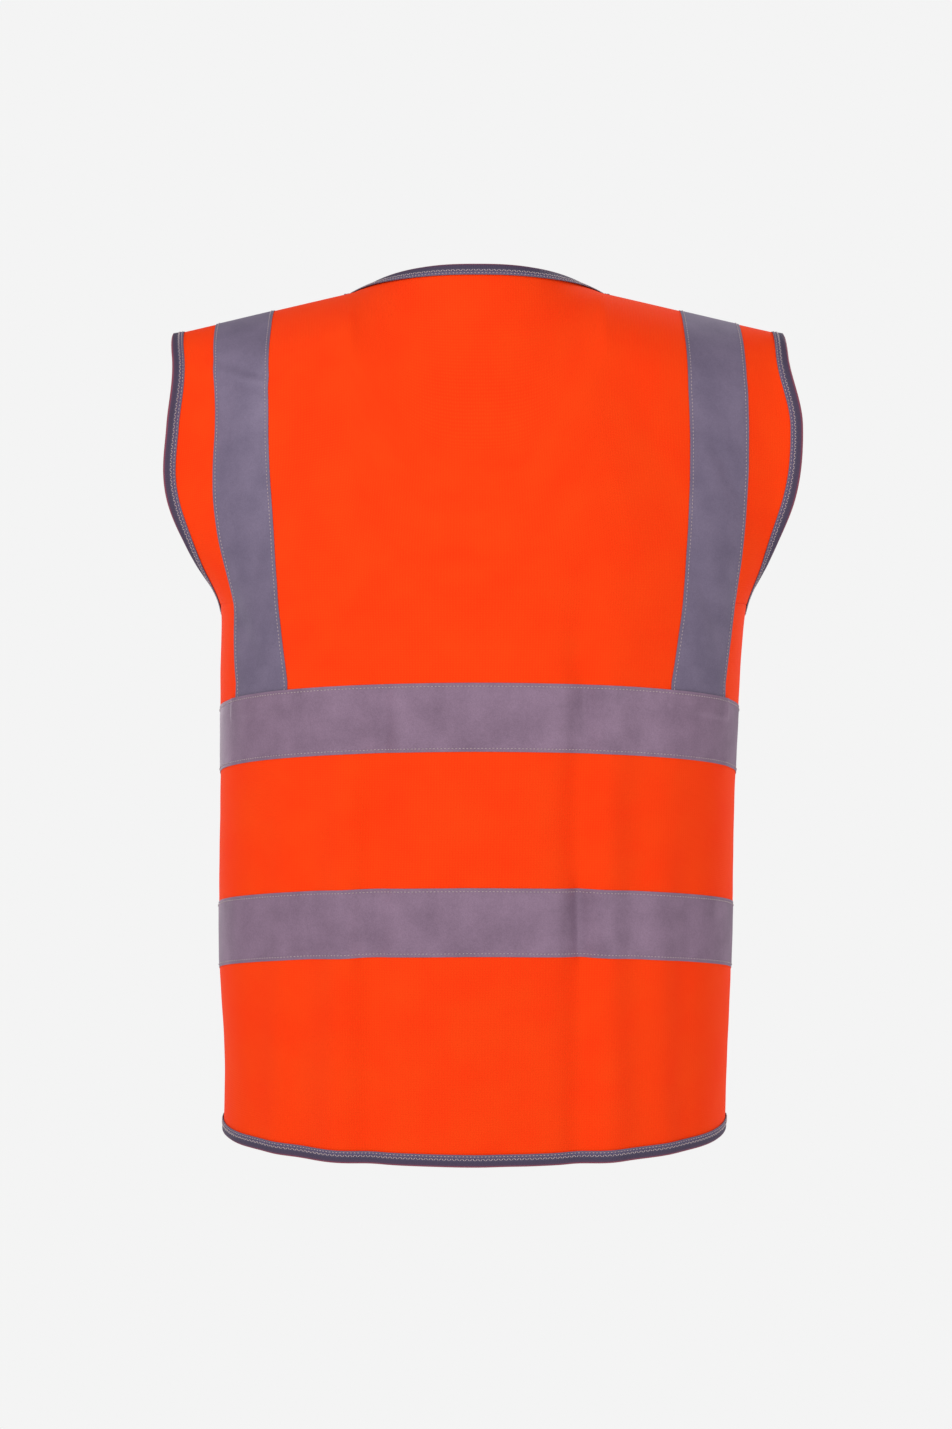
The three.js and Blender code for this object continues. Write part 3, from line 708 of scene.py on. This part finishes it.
def seam_short(across, z):
    """Cloth that reaches a side seam stops a hair short of it."""
    below = (np.abs(across) > 0.9999) & (z <= -UNDERARM_DROP + 1e-6)
    return np.where(below, across * (1 - SEAM_GAP / (CHEST_HALF_WIDTH * pi / 2)), across)


def back_place(u, v):
    across = spread(u)
    down = 1 - v
    on_shoulder = np.abs(across) > NECK_COLUMN
    down = np.where(on_shoulder, np.maximum(down, RIDGE_START), down)
    z = cloth_level(BACK, across, down)
    return draped(BACK, seam_short(across, z), z, CLOTH_MIDDLE)


back_cloth = laid_grid(
    "back_cloth", BACK_COLUMNS, BACK_ROWS, back_place, KNIT, CLOTH_THICKNESS
)
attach(back_cloth, "vest")
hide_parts("back_panel")


# ---------------------------------------------------------------- rows of stitches on strips


def run_of_stitches(points, normals):
    """Straight stitches along a line: (start, end, up) of each."""
    length = np.concatenate([[0], np.cumsum(np.linalg.norm(np.diff(points, axis=0), axis=1))])
    middles = (np.arange(int(length[-1] / STITCH_PITCH)) + 0.5) * STITCH_PITCH

    def at(distance, values):
        return np.stack([np.interp(distance, length, values[:, i]) for i in range(3)], axis=1)

    reach = STITCH_LENGTH / 2
    return at(middles - reach, points), at(middles + reach, points), at(middles, normals)


def zigzag_stitches(inner, outer, normals, pitch):
    """Stitches that go to and fro between two lines."""
    length = np.concatenate([[0], np.cumsum(np.linalg.norm(np.diff(inner, axis=0), axis=1))])
    marks = np.arange(0, length[-1], pitch)
    swing = (np.arange(len(marks)) % 2)[:, None]

    def at(values):
        return np.stack([np.interp(marks, length, values[:, i]) for i in range(3)], axis=1)

    corners = at(inner) * swing + at(outer) * (1 - swing)
    return corners[:-1], corners[1:], at(normals)[:-1]


def bead_of_thread():
    """The corners and faces of one stitch: a round bead of radius 1."""
    bm = bmesh.new()
    bmesh.ops.create_uvsphere(bm, u_segments=5, v_segments=4, radius=1)
    corners = np.array([v.co for v in bm.verts])
    faces = [[v.index for v in f.verts] for f in bm.faces]
    bm.free()
    return corners, faces


BEAD_CORNERS, BEAD_FACES = bead_of_thread()


def sewn(name, rows):
    """One mesh of thread: each stitch is a plump bead from its start to its end."""
    starts, ends, ups = (np.concatenate(group) for group in zip(*rows))
    along = (ends - starts) / 2
    beside = unit(np.cross(ups, along)) * THREAD_RADIUS
    up = unit(np.cross(along, beside)) * THREAD_RADIUS
    frames = np.stack([along, beside, up], axis=1)
    middles = (starts + ends) / 2
    corners = middles[:, None, :] + np.einsum("ci,nij->ncj", BEAD_CORNERS, frames)
    count = len(BEAD_CORNERS)
    faces = [[i + k * count for i in face] for k in range(len(middles)) for face in BEAD_FACES]
    mesh = bpy.data.meshes.new(name)
    mesh.from_pydata(corners.reshape(-1, 3).tolist(), [], faces)
    bm = bmesh.new()
    bm.from_mesh(mesh)
    bpy.data.meshes.remove(mesh)
    return new_piece(name, bm, THREAD)


def follow_fold(piece):
    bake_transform(piece)


# ---------------------------------------------------------------- back bands and braces


def brace_x(drop):
    share = np.clip((drop - SHOULDER_DROP) / (BAND_DROPS["upper"] - SHOULDER_DROP), 0, 1)
    return mix(BRACE_TOP_X, BRACE_FOOT_X, share) + BRACE_BOW * np.sin(pi * share)


BRACE_SPAN = 49 * MM
BRACE_EASE = 0.4  # how far the width is taken sideways and not along the cloth
BAND_ROWS = 28
BRACE_COLUMNS, BRACE_ROWS = 240, 16
BRACE_PASSES = 5  # in which the braces' place and height settle on each other
BRACE_TUCK = 15 * MM  # a brace ends this far below the top of the band that covers it


def tuck_step(across, z):
    """The band stands out where a brace ends beneath it."""
    x = np.abs(cloth_x(across, z))
    reach = 0.42 * BRACE_SPAN + 1.2 * MM
    beside = smooth(np.abs(x - BRACE_FOOT_X), reach, reach + 1.6 * MM)
    below = smooth(band_top(across, BAND_DROPS["upper"]) - z, BRACE_TUCK, BRACE_TUCK + 1.8 * MM)
    return (TAPE_THICKNESS + 1.0 * MM) * (1 - beside) * (1 - below)


def band_lift(across, z, level):
    step = tuck_step(across, z) if level == "upper" else 0
    return TAPE_MIDDLE + step


def band_stitch_rows(point, columns):
    """Rows near both edges of a strip, from its place function."""
    u = np.linspace(0.001, 0.999, columns)
    rows = []
    for inset in (STITCH_INSET / TAPE_WIDTH, 1 - STITCH_INSET / TAPE_WIDTH):
        v = np.full_like(u, inset)
        points = point(u, v)
        beside = point(u, v + 0.02) - point(u, v - 0.02)
        normals = unit(np.cross(np.gradient(points, axis=0), beside))
        rows.append((points, normals))
    return rows


def outwards(points, normals):
    """Normals turned to point away from the wearer."""
    away = points * np.array([1, 1, 0])
    wrong = (normals * away).sum(-1) < 0
    return np.where(wrong[:, None], -normals, normals)


# Strips take the band tape unless told otherwise, and with it its painted orange reflection.
def stitched_strip(name, place, columns, rows, material=TAPE_WITH_PAINTED_REFLECTION):
    """A strip of reflective tape with its two rows of stitches."""
    tape = laid_grid(name, columns, rows, place, material, TAPE_THICKNESS)
    lines = []
    for points, normals in band_stitch_rows(place, 4 * columns):
        normals = outwards(points, normals)
        lines.append(run_of_stitches(points + normals * (TAPE_THICKNESS / 2 + THREAD_LIFT), normals))
    thread = sewn(name + "_stitches", lines)
    return tape, thread


extras = {"back": [], "left": [], "right": []}

for level, drop in BAND_DROPS.items():

    def back_band(u, v, level=level, drop=drop):
        across = spread(u)
        z = band_top(across, drop) - (1 - v) * TAPE_WIDTH
        return draped(BACK, seam_short(across, z), z, band_lift(across, z, level))

    band, thread = stitched_strip(f"back_{level}_tape", back_band, BACK_COLUMNS, BAND_ROWS)
    for piece in (band, thread):
        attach(piece, "vest")
    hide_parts(f"back_{level}_band")
    extras["back"] += [band, thread]


ARCH_SHARE_OF_BRACE = 0.30


def brace_place(side, u, v):
    """From the foot on the back (v = 0) over the shoulder to the foot on the front (v = 1)."""
    offset = (u - 0.5) * BRACE_SPAN
    share = np.abs(2 * v - 1)
    turn = np.clip(share / ARCH_SHARE_OF_BRACE, 0, 1) * pi / 2
    below = np.clip((share - ARCH_SHARE_OF_BRACE) / (1 - ARCH_SHARE_OF_BRACE), 0, 1)
    spots = []
    for face in (BACK, FRONT):
        across = column_at(np.full_like(u, BRACE_TOP_X), -SHOULDER_DROP)
        for _ in range(BRACE_PASSES):
            top_z = column_top(face, across)[0]
            foot = band_top(across, BAND_DROPS["upper"]) - BRACE_TUCK
            arch = top_z - SHOULDER_ARCH_DROP * (1 - np.cos(turn))
            z = np.where(below > 0, mix(top_z - SHOULDER_ARCH_DROP, foot, below), arch)
            level = np.minimum(z, -SHOULDER_DROP - 15 * MM)
            by_cloth = column_beside(face, column_at(brace_x(-z), level), level, offset)
            across = mix(by_cloth, column_at(brace_x(-z) + offset, level), BRACE_EASE)
        spots.append(draped(face, side * across, z, TAPE_MIDDLE))
    back, front = spots
    blend = np.clip(0.5 + (v - 0.5) / 0.012, 0, 1)[:, None]
    return back * (1 - blend) + front * blend


for side_name, side in SIDES.items():

    def brace(u, v, side=side):
        return brace_place(side, v, u)

    brace_tape, thread = stitched_strip(
        f"{side_name}_brace", brace, BRACE_COLUMNS, BRACE_ROWS, BRACE_TAPE
    )
    for piece in (brace_tape, thread):
        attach(piece, "vest")
    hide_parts(f"{side_name}_brace_tape")
    extras["back"] += [brace_tape, thread]

# ---------------------------------------------------------------- the fronts


# Passes in which a column and its height settle on each other.
CLOTH_PASSES, BAND_PASSES = 14, 6


def front_column(u, z):
    """Column at a share u of the way from the front edge to the armhole or side seam."""
    inner = column_at(front_edge_x(z), np.minimum(z, -SHOULDER_DROP))
    return mix(inner, 1.0, u)


def front_place(side, u, v):
    down = np.maximum(1 - v, RIDGE_START)
    z = cloth_level(FRONT, np.full_like(u, 0.5), down)
    for _ in range(CLOTH_PASSES):
        across = front_column(u, z)
        z = cloth_level(FRONT, across, down)
    return front_spot(side, seam_short(across, z), z, CLOTH_MIDDLE)


def front_spot(side, across, z, lift):
    """A point of a front: across runs from the front edge outwards, for either side."""
    return draped(FRONT, side * across, z, lift + flap_lift(side, across, z))


FRONT_COLUMNS, FRONT_ROWS = 116, 180
SEAM_STEP = 4 * MM  # one band was sewn this much higher than the back one that it meets
for side_name, side in SIDES.items():

    def front(u, v, side=side):
        return front_place(side, u, v)

    cloth = laid_grid(
        f"{side_name}_front_cloth",
        FRONT_COLUMNS,
        FRONT_ROWS,
        front,
        KNIT,
        CLOTH_THICKNESS,
    )
    follow_fold(cloth)
    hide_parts(f"{side_name}_front_panel", f"{side_name}_front_flap")

    for level, drop in BAND_DROPS.items():

        def front_band(u, v, side=side, level=level, drop=drop):
            raised = SEAM_STEP if (side, level) == (-1, "lower") else 0
            z = -drop - (1 - v) * TAPE_WIDTH + 0 * u
            for _ in range(BAND_PASSES):
                across = front_column(u, z)
                z = band_top(across, drop) - (1 - v) * TAPE_WIDTH + raised * u * u
            lift = band_lift(across, z, level)
            return front_spot(side, seam_short(across, z), z, lift)

        band, thread = stitched_strip(
            f"{side_name}_front_{level}_tape", front_band, FRONT_COLUMNS, BAND_ROWS
        )
        for piece in (band, thread):
            follow_fold(piece)
        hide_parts(f"{side_name}_side_{level}_band", f"{side_name}_flap_{level}_band")
        extras[side_name] += [band, thread]

# ---------------------------------------------------------------- bindings


BINDING_STEPS = 14
CURVE_OF_BODY, CURVE_OF_NECK = 0.1, 0.5  # radii the legs of a binding bend to
BINDING_STITCH_INSET = BINDING_WIDTH - 1.3 * MM
ZIGZAG_OUTER, ZIGZAG_INNER, ZIGZAG_PITCH = 3.6 * MM, 5.4 * MM, 1.9 * MM
BACK_HEM_POINTS, FRONT_HEM_POINTS, NECK_POINTS = 220, 120, 110
ARMHOLE_POINTS, VEE_POINTS = 90, 240


def bound_edge(name, edge, inner, normals, by_chord=True):
    """A binding folded over an edge, with a straight row and a zigzag row of stitches.
    inner holds points of the cloth beside the edge, which say which way is inwards."""
    tangent = unit(np.gradient(edge, axis=0))
    normals = unit(normals)
    way = unit(np.cross(normals, tangent))
    if (way * (inner - edge)).sum() < 0:
        way = -way
    chord = inner - edge
    beside = chord - tangent * (chord * tangent).sum(-1)[:, None]
    square = np.linalg.norm(beside, axis=-1) / np.linalg.norm(chord, axis=-1)
    trust = smooth(square, 0.3, 0.7) * by_chord
    way = unit(mix(way, unit(beside), trust[:, None]))
    top = CLOTH_THICKNESS / 2 + BINDING_CLEARANCE
    inwards, upwards = binding_profile(BINDING_STEPS, top, -top)
    steps = len(edge) - 1
    side_curve = CURVE_OF_BODY if by_chord else CURVE_OF_NECK

    def place(u, v):
        k = np.rint(u * steps).astype(int)
        j = np.rint(v * BINDING_STEPS).astype(int)
        sink = (1 - trust[k]) * np.maximum(inwards[j], 0) ** 2 / (2 * side_curve)
        return edge[k] + way[k] * inwards[j][:, None] + normals[k] * (upwards[j] - sink)[:, None]

    strip = laid_grid(name, steps, BINDING_STEPS, place, BINDING, BINDING_THICKNESS)

    def line(inset):
        sink = (1 - trust) * inset * inset / (2 * side_curve)
        height = top + BINDING_THICKNESS / 2 + THREAD_LIFT - sink
        return edge + way * inset + normals * height[:, None]

    rows = [
        run_of_stitches(line(BINDING_STITCH_INSET), normals),
        zigzag_stitches(line(ZIGZAG_OUTER), line(ZIGZAG_INNER), normals, ZIGZAG_PITCH),
    ]
    return strip, sewn(name + "_stitches", rows)


def edge_frame(face, across, z, inner_across, inner_z, lift=CLOTH_MIDDLE):
    return (
        draped(face, across, z, lift),
        draped(face, inner_across, inner_z, lift),
        cloth_normal(face, across, z),
    )


def joined(*parts):
    return [np.concatenate(group) for group in zip(*parts)]


# the hem of the back
across = np.linspace(-0.99995, 0.99995, BACK_HEM_POINTS)
hem_line = edge_frame(BACK, across, hem_level(across), across, hem_level(across) + 5 * MM)
strip, thread = bound_edge("back_hem_strip", *hem_line)
for piece in (strip, thread):
    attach(piece, "vest")
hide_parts("back_hem_binding")
extras["back"] += [strip, thread]

# the back of the neck
across = np.linspace(-NECK_COLUMN, NECK_COLUMN, NECK_POINTS)
z = column_top(BACK, across)[0] - 0.0005 * MM
neck_line = edge_frame(BACK, across, z, across, z - 5 * MM)
neck_strip, thread = bound_edge("back_neck_strip", *neck_line, by_chord=False)
for piece in (neck_strip, thread):
    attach(piece, "vest")
extras["back"] += [neck_strip, thread]

for side_name, side in SIDES.items():
    # the armhole, from under the arm over the shoulder
    down = np.linspace(0.9985 * (ARCH_SHARE + ARMHOLE_SHARE), 0.004, ARMHOLE_POINTS)
    parts = []
    for face, order in ((BACK, 1), (FRONT, -1)):
        z = cloth_level(face, np.full_like(down, 1.0), down)[::order]
        rim = np.full_like(z, float(side))
        parts.append(edge_frame(face, rim, z, 0.97 * rim, z))
    strip, thread = bound_edge(f"{side_name}_armhole_strip", *joined(*parts))
    for piece in (strip, thread):
        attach(piece, "vest")
    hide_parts(f"{side_name}_armhole_binding")
    extras["back"] += [strip, thread]

    # the hem of the front
    u = np.linspace(0.0, 0.9999, FRONT_HEM_POINTS)
    z = np.full_like(u, -HEM_DROP)
    for _ in range(BAND_PASSES):
        across = front_column(u, z)
        z = hem_level(across)
    lift = CLOTH_MIDDLE + flap_lift(side, across, z)
    hem_line = edge_frame(FRONT, side * across, z, side * across, z + 5 * MM, lift)
    strip, thread = bound_edge(f"{side_name}_front_hem_strip", *hem_line)
    for piece in (strip, thread):
        follow_fold(piece)
    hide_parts(f"{side_name}_side_hem_binding", f"{side_name}_flap_hem_binding")
    extras[side_name] += [strip, thread]

    # the V of the neck and the front edge
    down = np.linspace(0.0004, 0.998, VEE_POINTS)
    z = cloth_level(FRONT, np.full_like(down, NECK_COLUMN), down)
    for _ in range(CLOTH_PASSES):
        across = front_column(np.zeros_like(z), z)
        z = cloth_level(FRONT, across, down)
    lift = CLOTH_MIDDLE + flap_lift(side, across, z)
    beside = across + 0.03
    vee_line = edge_frame(FRONT, side * across, z, side * beside, z, lift)
    strip, thread = bound_edge(f"{side_name}_vee_strip", *vee_line)
    for piece in (strip, thread):
        follow_fold(piece)
    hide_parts(f"{side_name}_front_edge_binding")
    extras[side_name] += [strip, thread]

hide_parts("neck_binding")

# ---------------------------------------------------------------- seams, labels and fastenings

SEAM_WIDTH = 9 * MM
SEAM_LAYERS = 0.9 * MM
SEAM_STITCH_INSET = 4.6 * MM
OVERLOCK_INNER, OVERLOCK_OUTER, OVERLOCK_PITCH = 5.5 * MM, SEAM_WIDTH - 0.4 * MM, 2.4 * MM
SIDE_SEAM_POINTS, SHOULDER_SEAM_POINTS = 90, 60
UNDER_CLOTH = CLOTH_MIDDLE - CLOTH_THICKNESS / 2 - SEAM_LAYERS / 2 - 0.15 * MM


def seam_allowance(name, path, across_way, normals):
    """The overlocked edge of a seam, pressed flat inside the cloth."""
    steps = len(path) - 1
    rows = 5

    def place(u, v):
        k = np.rint(u * steps).astype(int)
        return path[k] + across_way[k] * (v * SEAM_WIDTH)[:, None]

    allowance = laid_grid(name, steps, rows, place, KNIT, SEAM_LAYERS)
    depth = SEAM_LAYERS / 2 + 0.1 * MM
    under = -normals
    lines = [path + across_way * w + under * depth for w in (OVERLOCK_INNER, OVERLOCK_OUTER)]
    rows = [
        zigzag_stitches(lines[0], lines[1], under, OVERLOCK_PITCH),
        run_of_stitches(path + across_way * SEAM_STITCH_INSET + under * depth, under),
    ]
    thread = sewn(name + "_overlock", rows)
    for piece in (allowance, thread):
        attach(piece, "vest")
    return allowance, thread


for side_name, side in SIDES.items():
    z = np.linspace(-UNDERARM_DROP - 1 * MM, -HEM_DROP + HEM_LIFT + 1 * MM, SIDE_SEAM_POINTS)
    rim = np.full_like(z, 0.998 * side)
    path = draped(BACK, rim, z, UNDER_CLOTH)
    beside = draped(BACK, rim * 0.97, z, UNDER_CLOTH)
    seam, thread = seam_allowance(
        f"{side_name}_side_allowance", path, unit(beside - path), cloth_normal(BACK, rim, z)
    )
    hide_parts(f"{side_name}_side_seam")
    extras["back"] += [seam, thread]

    across = side * np.linspace(NECK_COLUMN + 0.04, 0.955, SHOULDER_SEAM_POINTS)
    z = cloth_level(BACK, across, np.full_like(across, 0.010))
    path = draped(BACK, across, z, UNDER_CLOTH)
    lower = cloth_level(BACK, across, np.full_like(across, 0.030))
    beside = draped(BACK, across, lower, UNDER_CLOTH)
    seam, thread = seam_allowance(
        f"{side_name}_shoulder_allowance", path, unit(beside - path), cloth_normal(BACK, across, z)
    )
    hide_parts(f"{side_name}_shoulder_seam")
    extras["back"] += [seam, thread]

PATCH_WIDTH, PATCH_HEIGHT, PATCH_THICKNESS = 20 * MM, 44 * MM, 0.7 * MM
PATCH_LIFT = CLOTH_THICKNESS / 2 + PATCH_THICKNESS / 2 + 0.12 * MM


def outline_stitches(name, place, inset_u, inset_v, raise_by, face_sign):
    """A row of stitches round a patch or label, just inside its edge."""
    corners = [
        (inset_u, inset_v),
        (1 - inset_u, inset_v),
        (1 - inset_u, 1 - inset_v),
        (inset_u, 1 - inset_v),
        (inset_u, inset_v),
    ]
    rows = []
    for (u0, v0), (u1, v1) in zip(corners, corners[1:]):
        u, v = np.linspace(u0, u1, 24), np.linspace(v0, v1, 24)
        points = place(u, v)
        normals = unit(np.cross(place(u + 0.02, v) - points, place(u, v + 0.02) - points))
        normals = normals * np.sign(normals[:, 1:2]) * face_sign
        rows.append(run_of_stitches(points + normals * raise_by, normals))
    return sewn(name, rows)


for number in (1, 2, 3, 4):
    for kind, side_name, sign in (("hook", "left", -1), ("loop", "right", 1)):
        node = f"{kind}_patch_{number}"
        low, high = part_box(node)
        drop = -(low.z + high.z) / 2
        side = SIDES[side_name]

        def patch(u, v, drop=drop, side=side, sign=sign):
            z = -drop + (v - 0.5) * PATCH_HEIGHT
            across = column_at((u - 0.5) * PATCH_WIDTH, z)
            height = CLOTH_MIDDLE + sign * PATCH_LIFT + side * LAYER_GAP / 2
            return draped(FRONT, across, z, height)

        piece = laid_grid(
            f"{kind}_patch_{number}_pile", 10, 22, patch, HOOKS, PATCH_THICKNESS
        )
        thread = outline_stitches(
            f"{kind}_patch_{number}_stitches",
            patch,
            0.08,
            0.04,
            PATCH_THICKNESS / 2 + THREAD_LIFT,
            -sign,
        )
        for one in (piece, thread):
            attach(one, f"{side_name}_flap")
        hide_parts(node)
        extras[side_name] += [piece, thread]

LABEL_THICKNESS = 0.3 * MM


def label_piece(node, face, width, height, lift):
    low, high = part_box(node)
    centre = (low + high) / 2

    def place(u, v):
        z = centre.z + (v - 0.5) * height
        if abs(centre.x) < 0.1:
            across = column_at(centre.x + (u - 0.5) * width, z)
        else:
            across = column_beside(face, np.ones_like(u), z, -(u * width + 2 * MM))
        return draped(face, across, z, lift)

    piece = laid_grid(node + "_cloth", 16, 24, place, LABEL, LABEL_THICKNESS)
    thread = outline_stitches(
        node + "_stitches", place, 0.05, 0.04, LABEL_THICKNESS / 2 + THREAD_LIFT, -face
    )
    for one in (piece, thread):
        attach(one, "vest")
    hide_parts(node)
    return [piece, thread]


UNDER_LABEL = CLOTH_MIDDLE - CLOTH_THICKNESS / 2 - LABEL_THICKNESS / 2
extras["back"] += label_piece("size_label", BACK, 36 * MM, 24 * MM, UNDER_LABEL - 0.15 * MM)
extras["left"] += label_piece("care_label", FRONT, 24 * MM, 60 * MM, UNDER_LABEL - 0.3 * MM)

# ---------------------------------------------------------------- stage, light and camera

BACKDROP = "#f4f4f4"
FLOOR_BELOW_HEM, FLOOR_RADIUS = 0.9, 6
KEY_POWER, FILL_POWER = 26, 12
SKY_LIGHT = 0.5  # how much of the backdrop's brightness lights the cloth


def backdrop_material():
    material = bpy.data.materials.new("pale_studio_paper")
    material.use_nodes = True
    tree = material.node_tree
    tree.nodes.clear()
    glow = add_node(tree, "ShaderNodeEmission", {"Color": linear(BACKDROP), "Strength": 1.0})
    add_node(tree, "ShaderNodeOutputMaterial", {}, {"Surface": glow.outputs[0]})
    return material


def studio_floor():
    bm = bmesh.new()
    lower = Matrix.Translation((0, 0, -HEM_DROP - FLOOR_BELOW_HEM))
    bmesh.ops.create_circle(bm, cap_ends=True, segments=64, radius=FLOOR_RADIUS, matrix=lower)
    mesh = bpy.data.meshes.new("studio_floor")
    bm.to_mesh(mesh)
    bm.free()
    floor = bpy.data.objects.new("studio_floor", mesh)
    bpy.context.scene.collection.objects.link(floor)
    mesh.materials.append(backdrop_material())


def area_light(name, place, aim, size, power):
    data = bpy.data.lights.new(name, "AREA")
    data.shape = "RECTANGLE"
    data.size, data.size_y = size
    data.energy = power
    lamp = bpy.data.objects.new(name, data)
    bpy.context.scene.collection.objects.link(lamp)
    lamp.location = place
    lamp.rotation_euler = (Vector(aim) - Vector(place)).to_track_quat("-Z", "Y").to_euler()


studio_floor()
world = bpy.data.worlds.new("studio")
world.use_nodes = True
sky = world.node_tree.nodes["Background"]
sky.inputs["Color"].default_value = linear(BACKDROP)
seen_or_lit = add_node(world.node_tree, "ShaderNodeLightPath").outputs["Is Camera Ray"]
sky_strength = add_node(
    world.node_tree,
    "ShaderNodeMapRange",
    {"To Min": SKY_LIGHT, "To Max": 1.0},
    {"Value": seen_or_lit},
)
world.node_tree.links.new(sky_strength.outputs["Result"], sky.inputs["Strength"])
bpy.context.scene.world = world

middle = (0, 0, -HEM_DROP / 2)
for facing in (1, -1):
    area_light("key", (1.5 * facing, 1.8 * facing, 1.0), middle, (0.7, 1.0), KEY_POWER)
    area_light("fill", (-1.3 * facing, 2.0 * facing, 0.1), middle, (1.2, 1.4), FILL_POWER)

scene = bpy.context.scene
scene.view_settings.view_transform = "Standard"
scene.view_settings.look = "None"

CAMERA_LENS = 113.2
CAMERA_DISTANCE = 2.3
CAMERA_HEIGHT = -0.322
camera_data = bpy.data.cameras.new("photographer")
camera_data.sensor_fit = "HORIZONTAL"
camera_data.sensor_width = 36
camera_data.lens = CAMERA_LENS
camera_data.dof.use_dof = False
camera = bpy.data.objects.new("photographer", camera_data)
scene.collection.objects.link(camera)
camera.location = (0, CAMERA_DISTANCE, CAMERA_HEIGHT)
camera.rotation_euler = (pi / 2, 0, pi)
scene.camera = camera
